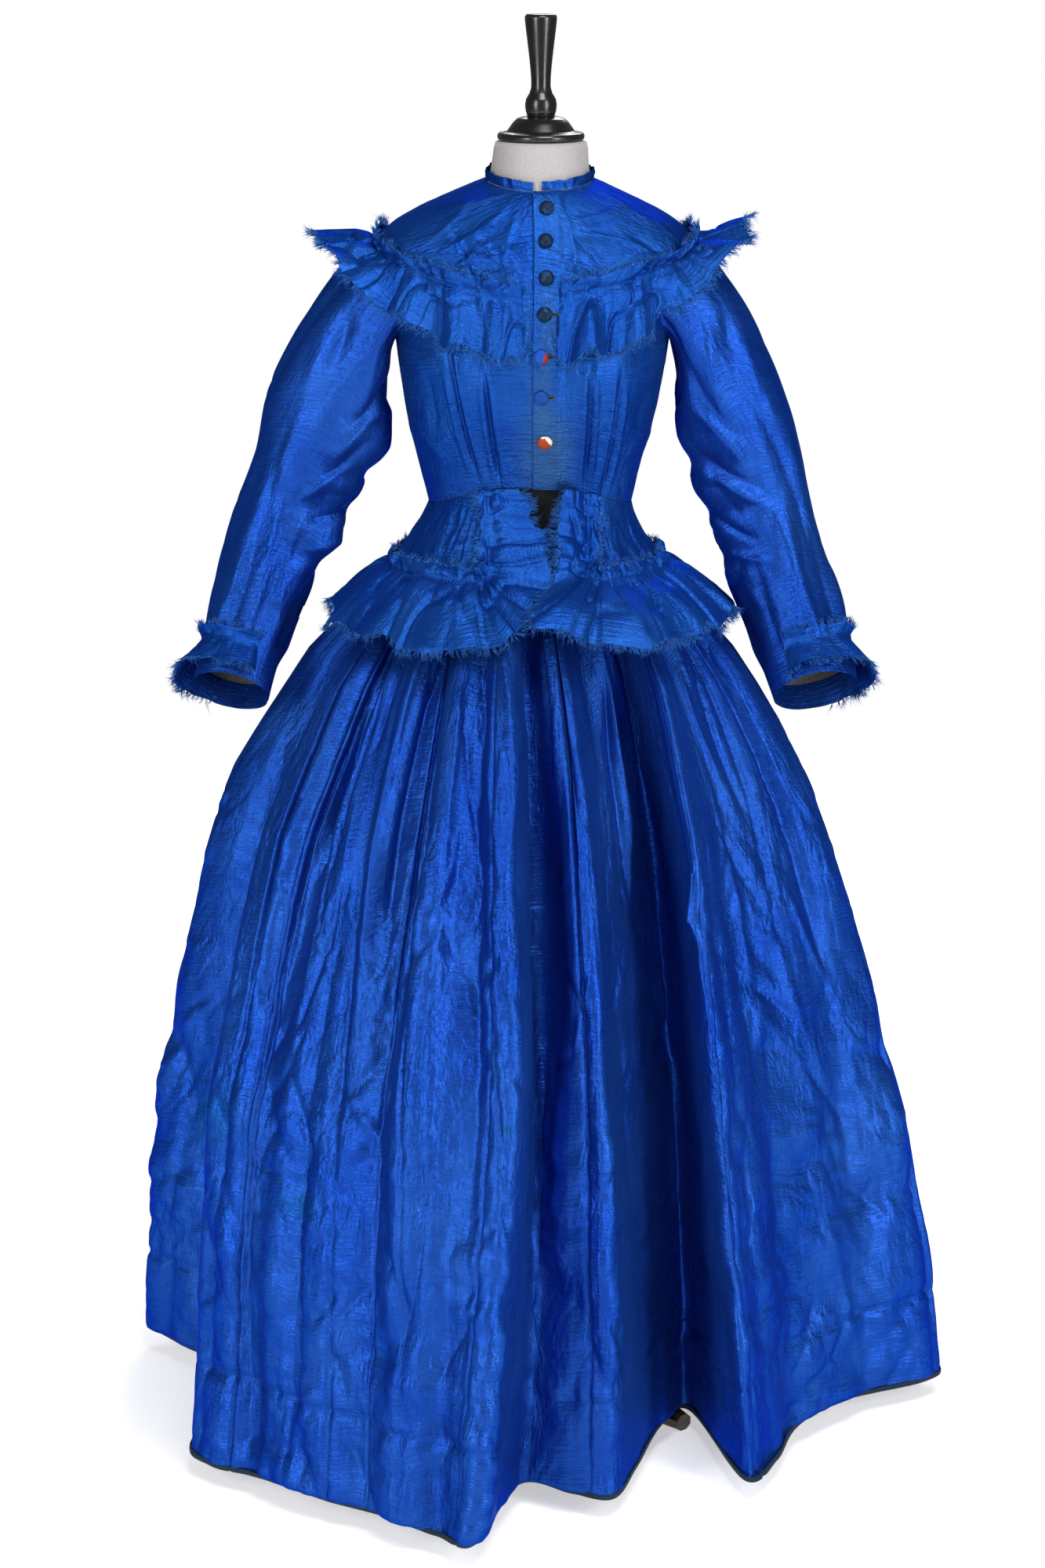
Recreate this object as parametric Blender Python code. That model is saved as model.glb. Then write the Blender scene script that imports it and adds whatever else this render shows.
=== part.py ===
# A blue silk taffeta day gown of about 1862 on a turned dress form.
# Metres, +Z up, +X to the viewer's right, -Y towards the viewer, the origin on the floor below the
# middle of the skirt. "right" and "left" in the names of pieces are the wearer's.
# Every cloth piece is a wall worked out from rings or sections, so it is hollow as the real one is.

import math
import random

import bpy
import numpy as np
from mathutils import Matrix

# Cloth and clearances
CLOTH = 0.0013            # wall of a cloth piece, seam allowances and lining included
SEAM_GAP = 0.0003         # between pieces that are sewn together
LAP_RISE = 0.0025         # how far the overlapping front edge lies above the one below it
BAND_EASE = 0.0008        # between the bodice's inner face and the skirt's waistband

# Heights of the whole
WAIST_BAND_LOW = 1.008    # lower edge of the skirt's waistband
SKIRT_TOP = 1.016         # where the gathers meet the waistband
HEM_HEIGHT = 0.025        # the hem hangs just clear of the floor
NECK_TOP = 1.4360         # top of the linen neck
FORM_BOTTOM = 0.800
# The form's rings inside the bodice: level of each, and how far it lies under the bodice's inner face
FORM_COLUMNS = ("level", "ease")
FORM_ROWS = {
    "waist": (0.00, 0.0044), "ribs": (1.20, 0.0030), "under_bust": (2.40, 0.0020), "bust": (3.45, 0.0021),
    "armpit": (4.25, 0.0024), "chest": (4.75, 0.0026), "high_chest": (5.25, 0.0028),
    "shoulder": (6.05, 0.0030), "slope": (7.20, 0.0028), "slope_high": (8.60, 0.0019), "neckline": (10.0, 0.0009),
}

# The form's rings below the waist, and those of its neck: the first two follow the neckline and are
# drawn in by inset, the others are round
FORM_HIP_COLUMNS = ("height", "half_width", "front", "back")
FORM_HIP_ROWS = {
    "foot":     (FORM_BOTTOM, 0.1260, 0.0900, 0.0980),
    "hip":      (0.8600, 0.1340, 0.0980, 0.1060),
    "high_hip": (0.9300, 0.1220, 0.0890, 0.0920),
    "waist":    (0.9850, 0.1055, 0.0770, 0.0690),
}
FORM_NECK_SLOPE = {"base": (0.005, 0.0042), "fall": (0.014, 0.0058)}      # rise, inset
FORM_NECK_ROUND = {"neck": (1.4290, 0.0510), "turn": (1.4345, 0.0496), "top": (NECK_TOP, 0.0465)}  # height, radius
FORM_MIDDLE_X = -0.012
BODY_SQUARE = 2.2         # how square the sections below the waist are, 2 being an oval

# Body sections that the bodice is cut to, from the waist seam up to the neckline.
# lift_front and lift_back raise the ring there, as the waist seam arches and the neckline dips.
BODY_COLUMNS = ("height", "half_width", "front", "back", "middle_x", "lift_front", "lift_back", "square")
BODY_ROWS = {
    "waist":      (1.042, 0.1125, 0.0840, 0.0760, -0.012, 0.027, 0.000, 2.2),
    "ribs":       (1.090, 0.1240, 0.0960, 0.0850, -0.012, 0.014, 0.000, 2.2),
    "under_bust": (1.140, 0.1370, 0.1110, 0.0940, -0.011, 0.005, 0.000, 2.2),
    "bust":       (1.200, 0.1470, 0.1240, 0.1030, -0.010, 0.000, 0.000, 2.2),
    "armpit":     (1.245, 0.1530, 0.1210, 0.1070, -0.009, 0.000, 0.002, 2.2),
    "chest":      (1.285, 0.1620, 0.1100, 0.1080, -0.008, 0.000, 0.005, 2.3),
    "shoulder":   (1.322, 0.1750, 0.0950, 0.1030, -0.007, 0.000, 0.010, 2.3),
    "slope_low":  (1.345, 0.1600, 0.0830, 0.0920, -0.006, 0.002, 0.014, 2.2),
    "slope":      (1.366, 0.1260, 0.0720, 0.0790, -0.005, 0.001, 0.016, 2.1),
    "slope_high": (1.382, 0.0880, 0.0640, 0.0660, -0.003, -0.002, 0.018, 2.0),
    "neckline":   (1.394, 0.0590, 0.0580, 0.0560, -0.001, -0.009, 0.012, 2.0),
}
BUST_CUP = {"rise": 0.010, "turn": 34.0, "spread": 24.0, "level": 3.2, "reach": 1.3}

SLEEVE_SIDES = 16         # the sleeve's columns, which meet the bodice's rings round the armhole

# Armhole: an oval in turn about the body and in level up the rows above
ARMHOLE = {"low": 3.45, "high": 6.05, "half_turn": 33.0}

# Peplum sections, from the waist seam down to the edge of its frill
PEPLUM_COLUMNS = ("height", "half_width", "front", "back", "middle_x")
PEPLUM_ROWS = {
    "seam":    (1.0420, 0.1125, 0.0840, 0.0760, -0.012),
    "upper":   (1.0220, 0.1190, 0.0950, 0.0860, -0.014),
    "middle":  (1.0040, 0.1290, 0.1080, 0.1010, -0.016),
    "spring":  (0.9860, 0.1430, 0.1240, 0.1190, -0.016),
    "flare":   (0.9690, 0.1600, 0.1440, 0.1400, -0.014),
    "heading": (0.9510, 0.1830, 0.1670, 0.1640, -0.012),
    "frill":   (0.9330, 0.2050, 0.1890, 0.1870, -0.012),
    "edge":    (0.9130, 0.2250, 0.2100, 0.2090, -0.012),
}
PEPLUM_FOOT = 0.948
PEPLUM_EDGE = 0.047       # each front edge from the middle of the opening
PEPLUM_MIDDLE = -0.003

# Sleeves: the middle of each section, its half width across and its half depth front to back
SLEEVE_COLUMNS = ("x", "y", "height", "half_width", "half_depth")
SLEEVE_RIGHT_ROWS = {
    "biceps":   (-0.2370, 0.010, 1.128, 0.0690, 0.0520),
    "elbow_top": (-0.2610, 0.022, 1.072, 0.0610, 0.0500),
    "elbow":    (-0.2810, 0.026, 1.018, 0.0590, 0.0490),
    "forearm":  (-0.3040, 0.018, 0.968, 0.0520, 0.0450),
    "wrist_top": (-0.3230, -0.002, 0.918, 0.0465, 0.0410),
    "wrist":    (-0.3360, -0.026, 0.872, 0.0440, 0.0370),
    "cuff":     (-0.3450, -0.052, 0.836, 0.0430, 0.0330),
}
SLEEVE_LEFT_ROWS = {
    "biceps":   (0.2130, 0.010, 1.128, 0.0630, 0.0500),
    "elbow_top": (0.2300, 0.022, 1.072, 0.0630, 0.0500),
    "elbow":    (0.2480, 0.026, 1.018, 0.0590, 0.0480),
    "forearm":  (0.2640, 0.018, 0.968, 0.0560, 0.0450),
    "wrist_top": (0.2830, -0.002, 0.918, 0.0520, 0.0410),
    "wrist":    (0.2960, -0.026, 0.872, 0.0505, 0.0380),
    "cuff":     (0.3050, -0.052, 0.836, 0.0470, 0.0340),
}

# Skirt folds: where each ridge or hollow leaves the waist, and where it meets the hem.
# bow shifts its run sideways at knee height. swell lifts a ridge, or sinks a hollow, between the waist
# and the share of the way down named by fade. panel names the width of silk that it belongs to.
FOLD_COLUMNS = ("waist_turn", "hem_x", "hem_y", "waist_rise", "bow", "swell", "fade", "panel")
FOLD_ROWS = {
    "left_front_corner": (-74, -0.388, -0.255, 0.0030, 0.000, 0.008, 0.80, "skirt_side_right"),
    "left_front_turn":   (-66, -0.362, -0.314, 0.0020, 0.000, 0.002, 0.80, "skirt_side_right"),
    "outer_valley":      (-57, -0.318, -0.338, 0.0000, -0.004, -0.024, 0.50, "skirt_front_right"),
    "side_panel_edge":   (-50, -0.284, -0.362, 0.0035, 0.000, 0.008, 0.80, "skirt_front_right"),
    "side_panel":        (-42, -0.228, -0.404, 0.0035, 0.000, 0.006, 0.80, "skirt_front_right"),
    "inner_valley":      (-34, -0.178, -0.432, 0.0000, 0.004, -0.026, 0.62, "skirt_front_right"),
    "broad_edge":        (-28, -0.142, -0.462, 0.0035, 0.004, 0.008, 0.80, "skirt_front_right"),
    "broad_panel":       (-19, -0.108, -0.486, 0.0035, 0.010, 0.002, 0.80, "skirt_front_right"),
    "broad_corner":      (-9, -0.070, -0.508, 0.0030, 0.036, 0.004, 0.80, "skirt_front_centre"),
    "centre_recess":     (-3, -0.024, -0.362, 0.0000, 0.020, -0.014, 0.80, "skirt_front_centre"),
    "centre_panel":      (4, 0.034, -0.384, 0.0035, 0.004, 0.008, 0.80, "skirt_front_centre"),
    "centre_corner":     (9, 0.078, -0.396, 0.0030, 0.002, 0.004, 0.80, "skirt_front_centre"),
    "centre_valley":     (16, 0.104, -0.320, 0.0000, 0.000, -0.020, 0.80, "skirt_front_centre"),
    "recess_ridge":      (25, 0.134, -0.212, 0.0035, 0.004, 0.008, 0.50, "skirt_front_centre"),
    "deep_recess":       (36, 0.169, -0.168, 0.0000, 0.002, -0.006, 0.60, "skirt_front_centre"),
    "round_fold":        (45, 0.222, -0.350, 0.0035, -0.012, 0.010, 0.80, "skirt_front_centre"),
    "round_fold_side":   (51, 0.260, -0.298, 0.0020, -0.010, 0.000, 0.80, "skirt_front_left"),
    "right_hollow":      (58, 0.288, -0.212, 0.0000, 0.000, -0.016, 0.70, "skirt_front_left"),
    "right_panel":       (66, 0.352, -0.138, 0.0030, 0.000, 0.008, 0.80, "skirt_front_left"),
    "right_corner":      (77, 0.446, -0.086, 0.0025, 0.000, 0.000, 0.80, "skirt_front_left"),
    "right_turn":        (88, 0.460, -0.040, 0.0025, 0.000, 0.000, 0.80, "skirt_front_left"),
    "side_left_hollow":  (98, 0.385, 0.060, 0.0000, 0.000, -0.008, 0.80, "skirt_side_left"),
    "side_left_fold":    (108, 0.436, 0.170, 0.0035, 0.000, 0.008, 0.80, "skirt_side_left"),
    "back_left_hollow":  (119, 0.325, 0.192, 0.0000, 0.000, -0.010, 0.80, "skirt_side_left"),
    "back_left_fold":    (130, 0.348, 0.346, 0.0035, 0.000, 0.010, 0.80, "skirt_side_left"),
    "back_left_gather":  (140, 0.232, 0.300, 0.0000, 0.000, -0.012, 0.80, "skirt_back_left"),
    "back_left_pleat":   (151, 0.206, 0.458, 0.0035, 0.000, 0.010, 0.80, "skirt_back_left"),
    "back_hollow_left":  (162, 0.118, 0.352, 0.0000, 0.000, -0.014, 0.80, "skirt_back_left"),
    "back_fold":         (173, 0.052, 0.506, 0.0035, 0.000, 0.010, 0.80, "skirt_back_left"),
    "back_hollow_right": (184, -0.028, 0.366, 0.0000, 0.000, -0.014, 0.80, "skirt_back_right"),
    "back_right_pleat":  (195, -0.118, 0.490, 0.0035, 0.000, 0.010, 0.80, "skirt_back_right"),
    "back_right_gather": (206, -0.160, 0.340, 0.0000, 0.000, -0.012, 0.80, "skirt_back_right"),
    "back_right_fold":   (217, -0.276, 0.420, 0.0035, 0.000, 0.010, 0.80, "skirt_back_right"),
    "back_right_hollow": (228, -0.268, 0.262, 0.0000, 0.000, -0.010, 0.80, "skirt_side_right"),
    "side_right_fold":   (239, -0.386, 0.270, 0.0035, 0.000, 0.008, 0.80, "skirt_side_right"),
    "side_right_hollow": (250, -0.340, 0.140, 0.0000, 0.000, -0.010, 0.80, "skirt_side_right"),
    "left_side_fold":    (260, -0.460, 0.085, 0.0030, 0.000, 0.000, 0.80, "skirt_side_right"),
    "left_side_turn":    (268, -0.430, 0.022, 0.0025, 0.000, 0.000, 0.80, "skirt_side_right"),
    "left_side_hollow":  (277, -0.330, -0.095, 0.0000, 0.000, -0.008, 0.80, "skirt_side_right"),
}
# How the skirt springs out from the waist: share of the way down, and share of the way out
# at the viewer's left side and at the right one
SPRING_COLUMNS = ("down", "out_left", "out_right")
SPRING_ROWS = {
    "waist":     (0.000, 0.000, 0.000),
    "gathers":   (0.030, 0.040, 0.035),
    "under_basque": (0.060, 0.120, 0.105),
    "basque_edge": (0.100, 0.235, 0.210),
    "hip":       (0.156, 0.387, 0.339),
    "low_hip":   (0.229, 0.514, 0.461),
    "thigh":     (0.303, 0.634, 0.564),
    "low_thigh": (0.415, 0.734, 0.667),
    "knee":      (0.490, 0.785, 0.730),
    "calf":      (0.585, 0.867, 0.794),
    "low_calf":  (0.682, 0.915, 0.864),
    "shin":      (0.779, 0.946, 0.922),
    "ankle":     (0.878, 0.967, 0.975),
    "hem":       (1.000, 1.000, 1.000),
}
SKIRT_LEVELS = (0.0, 0.055, 0.13, 0.24, 0.40, 0.66, 1.0)
FRONT_SAMPLES, BACK_SAMPLES = 3, 2   # columns of the wall for each fold line

# Frills: straight strips of taffeta, both edges frayed, gathered a little below the upper edge
YOKE_FRILL = {"drop": 0.064, "heading": 0.013, "clear": 0.0045, "waves": 11, "wave": 0.0065}
PEPLUM_FRILL = {"drop": 0.060, "heading": 0.012, "clear": 0.0055, "waves": 10, "wave": 0.0050}
CUFF_FRILL = {"from_share": 0.18, "to_share": 0.71, "waves": 3, "wave": 0.0030, "end_flare": 0.3}
# How far down the sleeve each row of the cuff's frill lies, how far it flares, its share of the wave,
# and how far it lies off the sleeve
CUFF_COLUMNS = ("place", "flare", "wave", "clear")
CUFF_ROWS = {
    "edge":    (5.86, 0.020, 1.0, 0.0030),
    "fall":    (5.45, 0.010, 0.8, 0.0020),
    "gathers": (4.90, 0.000, 0.0, 0.0001),
    "heading": (4.66, 0.003, 0.5, 0.0030),
}
SEAT = 0.0008             # how far a frill lies off the cloth along its gathers, where it is sewn on
FRAY = {"strip": 0.0024, "length": 0.009, "base": 0.28}

# Buttons down the front: height and offset from the middle
BUTTON_COLUMNS = ("height", "x")
BUTTON_ROWS = {
    "button_1": (1.368, 0.006), "button_2": (1.334, 0.005), "button_3": (1.298, 0.006),
    "button_4": (1.261, 0.004), "button_5": (1.217, 0.000), "button_6": (1.172, 0.000),
    "button_7": (1.116, 0.004),
}
BUTTON_RADIUS = 0.0080
BUTTON_RISE = 0.0055
# The dome's rings: share of the radius, and share of the rise
BUTTON_PROFILE = ((1.0, 0.0), (1.0, 0.30), (0.80, 0.72), (0.42, 0.96))
FRONT_EDGE_X = -0.0085    # visible edge of the overlapping front
UNDERLAP_X = 0.0130       # edge of the front that lies below it

# Turned wood of the form: radius and height of each turn of the profile
CAP_PROFILE = ((0.0440, 0.0000), (0.0468, 0.0018), (0.0474, 0.0052), (0.0455, 0.0082), (0.0372, 0.0098),
               (0.0340, 0.0140), (0.0300, 0.0195), (0.0255, 0.0235), (0.0190, 0.0255))
FINIAL_PROFILE = ((0.0148, 0.0000), (0.0166, 0.0060), (0.0172, 0.0125), (0.0160, 0.0185), (0.0125, 0.0245),
                  (0.0106, 0.0310), (0.0108, 0.0420), (0.0124, 0.0600), (0.0150, 0.0820), (0.0172, 0.1010),
                  (0.0173, 0.1055), (0.0155, 0.1080))
POLE_RADIUS = 0.0150
HUB_PROFILE = ((0.0230, 0.0500), (0.0330, 0.0620), (0.0360, 0.0800), (0.0330, 0.1350), (0.0250, 0.1550),
               (0.0270, 0.1700), (0.0220, 0.1850))
# Legs: distance out, height of the middle, half height and half width of each section
LEG_COLUMNS = ("out", "height", "half_height", "half_width")
LEG_ROWS = {
    "root": (0.0366, 0.1000, 0.0240, 0.0100),
    "knee": (0.0900, 0.0960, 0.0170, 0.0110),
    "calf": (0.1450, 0.0560, 0.0130, 0.0100),
    "ankle": (0.1850, 0.0260, 0.0110, 0.0100),
    "foot": (0.2120, 0.0110, 0.0120, 0.0150),
    "toe":  (0.2340, 0.0090, 0.0098, 0.0110),
}
LEG_TURNS = (44.0, 164.0, 284.0)
LEG_CORNER = 1.08         # the eight-sided section's corners lie this much outside its flats
COLOURS = {
    "taffeta": ((0.012, 0.085, 0.46, 1.0), 0.35, 0.0),
    "frill": ((0.015, 0.11, 0.48, 1.0), 0.40, 0.0),
    "binding": ((0.006, 0.02, 0.05, 1.0), 0.8, 0.0),
    "band": ((0.006, 0.006, 0.010, 1.0), 0.85, 0.0),
    "button_silk": ((0.012, 0.06, 0.24, 1.0), 0.45, 0.0),
    "linen": ((0.55, 0.54, 0.57, 1.0), 0.9, 0.0),
    "black_wood": ((0.008, 0.008, 0.009, 1.0), 0.3, 0.0),
}


def column(rows, columns, name):
    """One named column of a table."""
    place = columns.index(name)
    return [row[place] for row in rows.values()]


def smooth_at(values, place):
    """A value between table rows, on a Catmull-Rom curve through them."""
    last = len(values) - 1
    place = min(max(place, 0.0), float(last))
    first = min(int(place), last - 1)
    t = place - first
    a = values[first - 1] if first > 0 else 2 * values[0] - values[1]
    b, c = values[first], values[first + 1]
    d = values[first + 2] if first + 2 <= last else 2 * values[last] - values[last - 1]
    return 0.5 * (2 * b + (c - a) * t + (2 * a - 5 * b + 4 * c - d) * t ** 2 + (3 * b - a - 3 * c + d) * t ** 3)


def smooth_step(value, low, high):
    """0 below low, 1 above high, and an even turn between them."""
    t = min(max((value - low) / (high - low), 0.0), 1.0)
    return t * t * (3 - 2 * t)


def signed_power(value, power):
    return math.copysign(abs(value) ** power, value)


BODY = {name: column(BODY_ROWS, BODY_COLUMNS, name) for name in BODY_COLUMNS}
PEPLUM = {name: column(PEPLUM_ROWS, PEPLUM_COLUMNS, name) for name in PEPLUM_COLUMNS}


def body_point(turn, level):
    """A point of the bodice's outer face: turn in degrees from the front, level in rows above the waist."""
    row = {name: smooth_at(values, level) for name, values in BODY.items()}
    s, c = math.sin(math.radians(turn)), math.cos(math.radians(turn))
    power = 2 / row["square"]
    depth = row["front"] if c > 0 else row["back"]
    side = min(abs((turn + 180) % 360 - 180), 180)
    cup = BUST_CUP["rise"] * math.exp(-((side - BUST_CUP["turn"]) / BUST_CUP["spread"]) ** 2
                                      - ((level - BUST_CUP["level"]) / BUST_CUP["reach"]) ** 2)
    reach = 1 + cup / 0.13
    x = row["middle_x"] + row["half_width"] * signed_power(s, power) * reach
    y = -depth * signed_power(c, power) * reach
    lift = row["lift_front"] if c > 0 else row["lift_back"]
    return np.array((x, y, row["height"] + lift * c * c))


def peplum_point(turn, height):
    """A point of the peplum's outer face at a height."""
    heights = PEPLUM["height"]
    place = float(np.interp(-height, [-h for h in heights], range(len(heights))))
    row = {name: smooth_at(values, place) for name, values in PEPLUM.items()}
    s, c = math.sin(math.radians(turn)), math.cos(math.radians(turn))
    depth = row["front"] if c > 0 else row["back"]
    arch = BODY["lift_front"][0] * max(c, 0) ** 2 * (1 - smooth_step(place, 0, 4))
    power = 2 / BODY_SQUARE
    return np.array((row["middle_x"] + row["half_width"] * signed_power(s, power),
                     -depth * signed_power(c, power), height + arch))


def outward(point_at, u, v, step_u, step_v):
    """The outer normal of a face given as a function of two places."""
    along = point_at(u + step_u, v) - point_at(u - step_u, v)
    up = point_at(u, v + step_v) - point_at(u, v - step_v)
    normal = np.cross(along, up)
    return normal / np.linalg.norm(normal)


def grid_normals(grid, closed):
    """Outer normals of a grid whose columns run anticlockwise seen from above and whose rows run up."""
    if closed:
        along = np.roll(grid, -1, axis=1) - np.roll(grid, 1, axis=1)
    else:
        along = np.gradient(grid, axis=1)
    normals = np.cross(along, np.gradient(grid, axis=0))
    return normals / np.linalg.norm(normals, axis=2, keepdims=True)


def material(name):
    """A plain Principled material for one of the cloths or woods."""
    found = bpy.data.materials.get(name)
    if found:
        return found
    colour, roughness, metallic = COLOURS[name]
    made = bpy.data.materials.new(name)
    made.use_nodes = True
    shader = made.node_tree.nodes["Principled BSDF"]
    shader.inputs["Base Color"].default_value = colour
    shader.inputs["Roughness"].default_value = roughness
    shader.inputs["Metallic"].default_value = metallic
    return made


def add_mesh(name, points, faces, finish, parent):
    """One named object from points and faces."""
    mesh = bpy.data.meshes.new(name)
    mesh.from_pydata([tuple(map(float, p)) for p in points], [], faces)
    mesh.validate()
    mesh.materials.append(material(finish))
    mesh.shade_smooth()
    made = bpy.data.objects.new(name, mesh)
    bpy.context.scene.collection.objects.link(made)
    made.parent = parent
    return made


def wall_faces(outer, closed):
    """Faces of a wall: outer points first, then the inner ones, row by row.

    Both sides are cut into triangles along the same diagonal, the shorter one, so they never cross."""
    rows, columns = outer.shape[:2]
    inner = rows * columns
    flat = outer.reshape(-1, 3)
    faces = []
    for r in range(rows - 1):
        for c in range(columns if closed else columns - 1):
            d = (c + 1) % columns
            a, b, e, f = r * columns + c, r * columns + d, (r + 1) * columns + d, (r + 1) * columns + c
            if np.linalg.norm(flat[e] - flat[a]) < np.linalg.norm(flat[f] - flat[b]):
                triangles = ((a, b, e), (a, e, f))
            else:
                triangles = ((a, b, f), (b, e, f))
            for triangle in triangles:
                faces.append(triangle)
                faces.append(tuple(inner + point for point in reversed(triangle)))
    for c in range(columns if closed else columns - 1):
        d = (c + 1) % columns
        top = (rows - 1) * columns
        faces.append((d, c, inner + c, inner + d))
        faces.append((top + c, top + d, inner + top + d, inner + top + c))
    if not closed:
        last = columns - 1
        for r in range(rows - 1):
            low, high = r * columns, (r + 1) * columns
            faces.append((low, high, inner + high, inner + low))
            faces.append((high + last, low + last, inner + low + last, inner + high + last))
    return faces


def cloth_wall(name, grid, finish, parent, closed=False, thickness=CLOTH, normals=None):
    """A cloth piece: a wall whose outer face passes through the grid's points."""
    if normals is None:
        normals = grid_normals(grid, closed)
    inner = grid - normals * thickness
    if not closed:
        grid, inner = part_seams(grid, inner)
    points = np.concatenate((grid.reshape(-1, 3), inner.reshape(-1, 3)))
    return add_mesh(name, points, wall_faces(grid, closed), finish, parent)


def part_seams(outer, inner):
    """Draws a panel's two side edges in by half of the gap that a seam leaves."""
    outer, inner = outer.copy(), inner.copy()
    for edge, inside in ((0, 1), (-1, -2)):
        way = outer[:, inside] - outer[:, edge]
        way = way / np.linalg.norm(way, axis=1, keepdims=True) * SEAM_GAP * 0.6
        outer[:, edge] += way
        inner[:, edge] += way
    return outer, inner


def turned(name, profile, base, sides, finish, parent, middle=(0.0, 0.0)):
    """A piece turned on a lathe about a vertical axis, solid from end to end."""
    points, faces = [], []
    for radius, height in profile:
        for side in range(sides):
            angle = 2 * math.pi * side / sides
            points.append((middle[0] + radius * math.cos(angle), middle[1] + radius * math.sin(angle),
                           base + height))
    for row in range(len(profile) - 1):
        for side in range(sides):
            after = (side + 1) % sides
            low, high = row * sides, (row + 1) * sides
            faces.append((low + side, low + after, high + after, high + side))
    faces.append(tuple(reversed(range(sides))))
    faces.append(tuple(range((len(profile) - 1) * sides, len(profile) * sides)))
    return add_mesh(name, points, faces, finish, parent)


def armhole_half_turn(level):
    """Half of the armhole's width at a level, in degrees of turn."""
    middle = (ARMHOLE["low"] + ARMHOLE["high"]) / 2
    half = (ARMHOLE["high"] - ARMHOLE["low"]) / 2
    inside = 1 - ((level - middle) / half) ** 2
    return ARMHOLE["half_turn"] * math.sqrt(max(inside, 0.0))


def bodice_levels():
    """Levels of the bodice's rings: wide apart below the armhole, closer beside it, then the shoulder."""
    low, high = ARMHOLE["low"], ARMHOLE["high"]
    middle, half = (low + high) / 2, (high - low) / 2
    hole = [middle - half * math.cos(2 * math.pi * step / SLEEVE_SIDES) for step in range(SLEEVE_SIDES // 2 + 1)]
    return [0.0, 1.2, 2.4] + hole + [7.2, 8.6, 10.0]


def front_turn(x, level):
    """The turn at which the bodice's front lies at this x."""
    low, high = -30.0, 30.0
    for _ in range(30):
        middle = (low + high) / 2
        if body_point(middle, level)[0] < x:
            low = middle
        else:
            high = middle
    return (low + high) / 2


def bodice_grid(turns_at, rises=None):
    """A bodice panel: the turns of its columns at each level, and how far each column is lifted."""
    grid = []
    for level in bodice_levels():
        row = []
        for place, turn in enumerate(turns_at(level)):
            point = body_point(turn, level)
            if rises and place < len(rises):
                point = point + outward(body_point, turn, level, 1.0, 0.05) * rises[place]
            row.append(point)
        grid.append(row)
    return np.array(grid)


def spaced(first, last, count):
    """Evenly spaced turns between two turns, both included."""
    return [first + (last - first) * place / (count - 1) for place in range(count)]


def build_bodice(parent):
    """Two fronts that lap at the middle, and a back, open at the neck, waist and armholes."""
    def right_turns(level):
        return spaced(-90 + armhole_half_turn(level), front_turn(UNDERLAP_X, level), 9)

    def left_turns(level):
        edge = [front_turn(x, level) for x in (FRONT_EDGE_X, UNDERLAP_X + 0.004)]
        return edge + spaced(front_turn(UNDERLAP_X + 0.013, level), 90 - armhole_half_turn(level), 8)

    def back_turns(level):
        return spaced(90 + armhole_half_turn(level), 270 - armhole_half_turn(level), 13)

    cloth_wall("bodice_front_right", bodice_grid(right_turns), "taffeta", parent)
    cloth_wall("bodice_front_left", bodice_grid(left_turns, (LAP_RISE, LAP_RISE)), "taffeta", parent)
    cloth_wall("bodice_back", bodice_grid(back_turns), "taffeta", parent)


def build_neckband(parent):
    """A narrow standing band round the neckline, open at the front."""
    lower, upper = [], []
    for turn in spaced(2.0, 353.0, 25):
        foot = body_point(turn, 10.0)
        in_step = np.array((math.sin(math.radians(turn)), -math.cos(math.radians(turn)), 0.0)) * 0.0012
        rise = 0.010 + 0.004 * (1 - math.cos(math.radians(turn))) / 2
        lift = 0.0006 + 0.0020 * (1 - smooth_step(turn, 12, 40))
        lower.append(foot + np.array((0, 0, lift)) - in_step * 0.2)
        upper.append(foot + np.array((0, 0, rise + lift)) - in_step)
    cloth_wall("neckband", np.array((lower, upper)), "taffeta", parent)


def armhole_point(side, share):
    """The sleeve's end of the armhole seam: share 0 at the underarm, a quarter of a turn to the front."""
    angle = 2 * math.pi * share
    low, high = ARMHOLE["low"], ARMHOLE["high"]
    level = (low + high) / 2 - (high - low) / 2 * math.cos(angle)
    point = body_point(side * (90 - ARMHOLE["half_turn"] * math.sin(angle)), level)
    middle = body_point(side * 90, (low + high) / 2)
    way = middle - point
    return point + way / np.linalg.norm(way) * SEAM_GAP * 1.5


def sleeve_frame(table, place):
    """Middle, width axis, depth axis and half sizes of a sleeve section."""
    middle = np.array([smooth_at(table[name], place) for name in ("x", "y", "height")])
    step = 0.15
    ahead = np.array([smooth_at(table[n], min(place + step, 6.0)) for n in ("x", "y", "height")])
    behind = np.array([smooth_at(table[n], max(place - step, 0.0)) for n in ("x", "y", "height")])
    way = (ahead - behind) / np.linalg.norm(ahead - behind)
    # The cuff is cut a little longer at the back than across the arm
    way = way + np.array((0.0, -0.30, 0.0)) * smooth_step(place, 4.6, 6.0)
    way /= np.linalg.norm(way)
    across = np.cross(way, np.array((0.0, 1.0, 0.0)))
    across /= np.linalg.norm(across)
    return middle, across, np.cross(across, way), way


def sleeve_ring_point(table, side, place, share):
    """A point of a sleeve section: share 0 on the body's side, then round by the front."""
    middle, across, depth, _ = sleeve_frame(table, place)
    angle = 2 * math.pi * share
    half_width, half_depth = smooth_at(table["half_width"], place), smooth_at(table["half_depth"], place)
    inward = across if side < 0 else -across
    front = depth if depth[1] < 0 else -depth
    return middle + inward * half_width * math.cos(angle) + front * half_depth * math.sin(angle)


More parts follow.
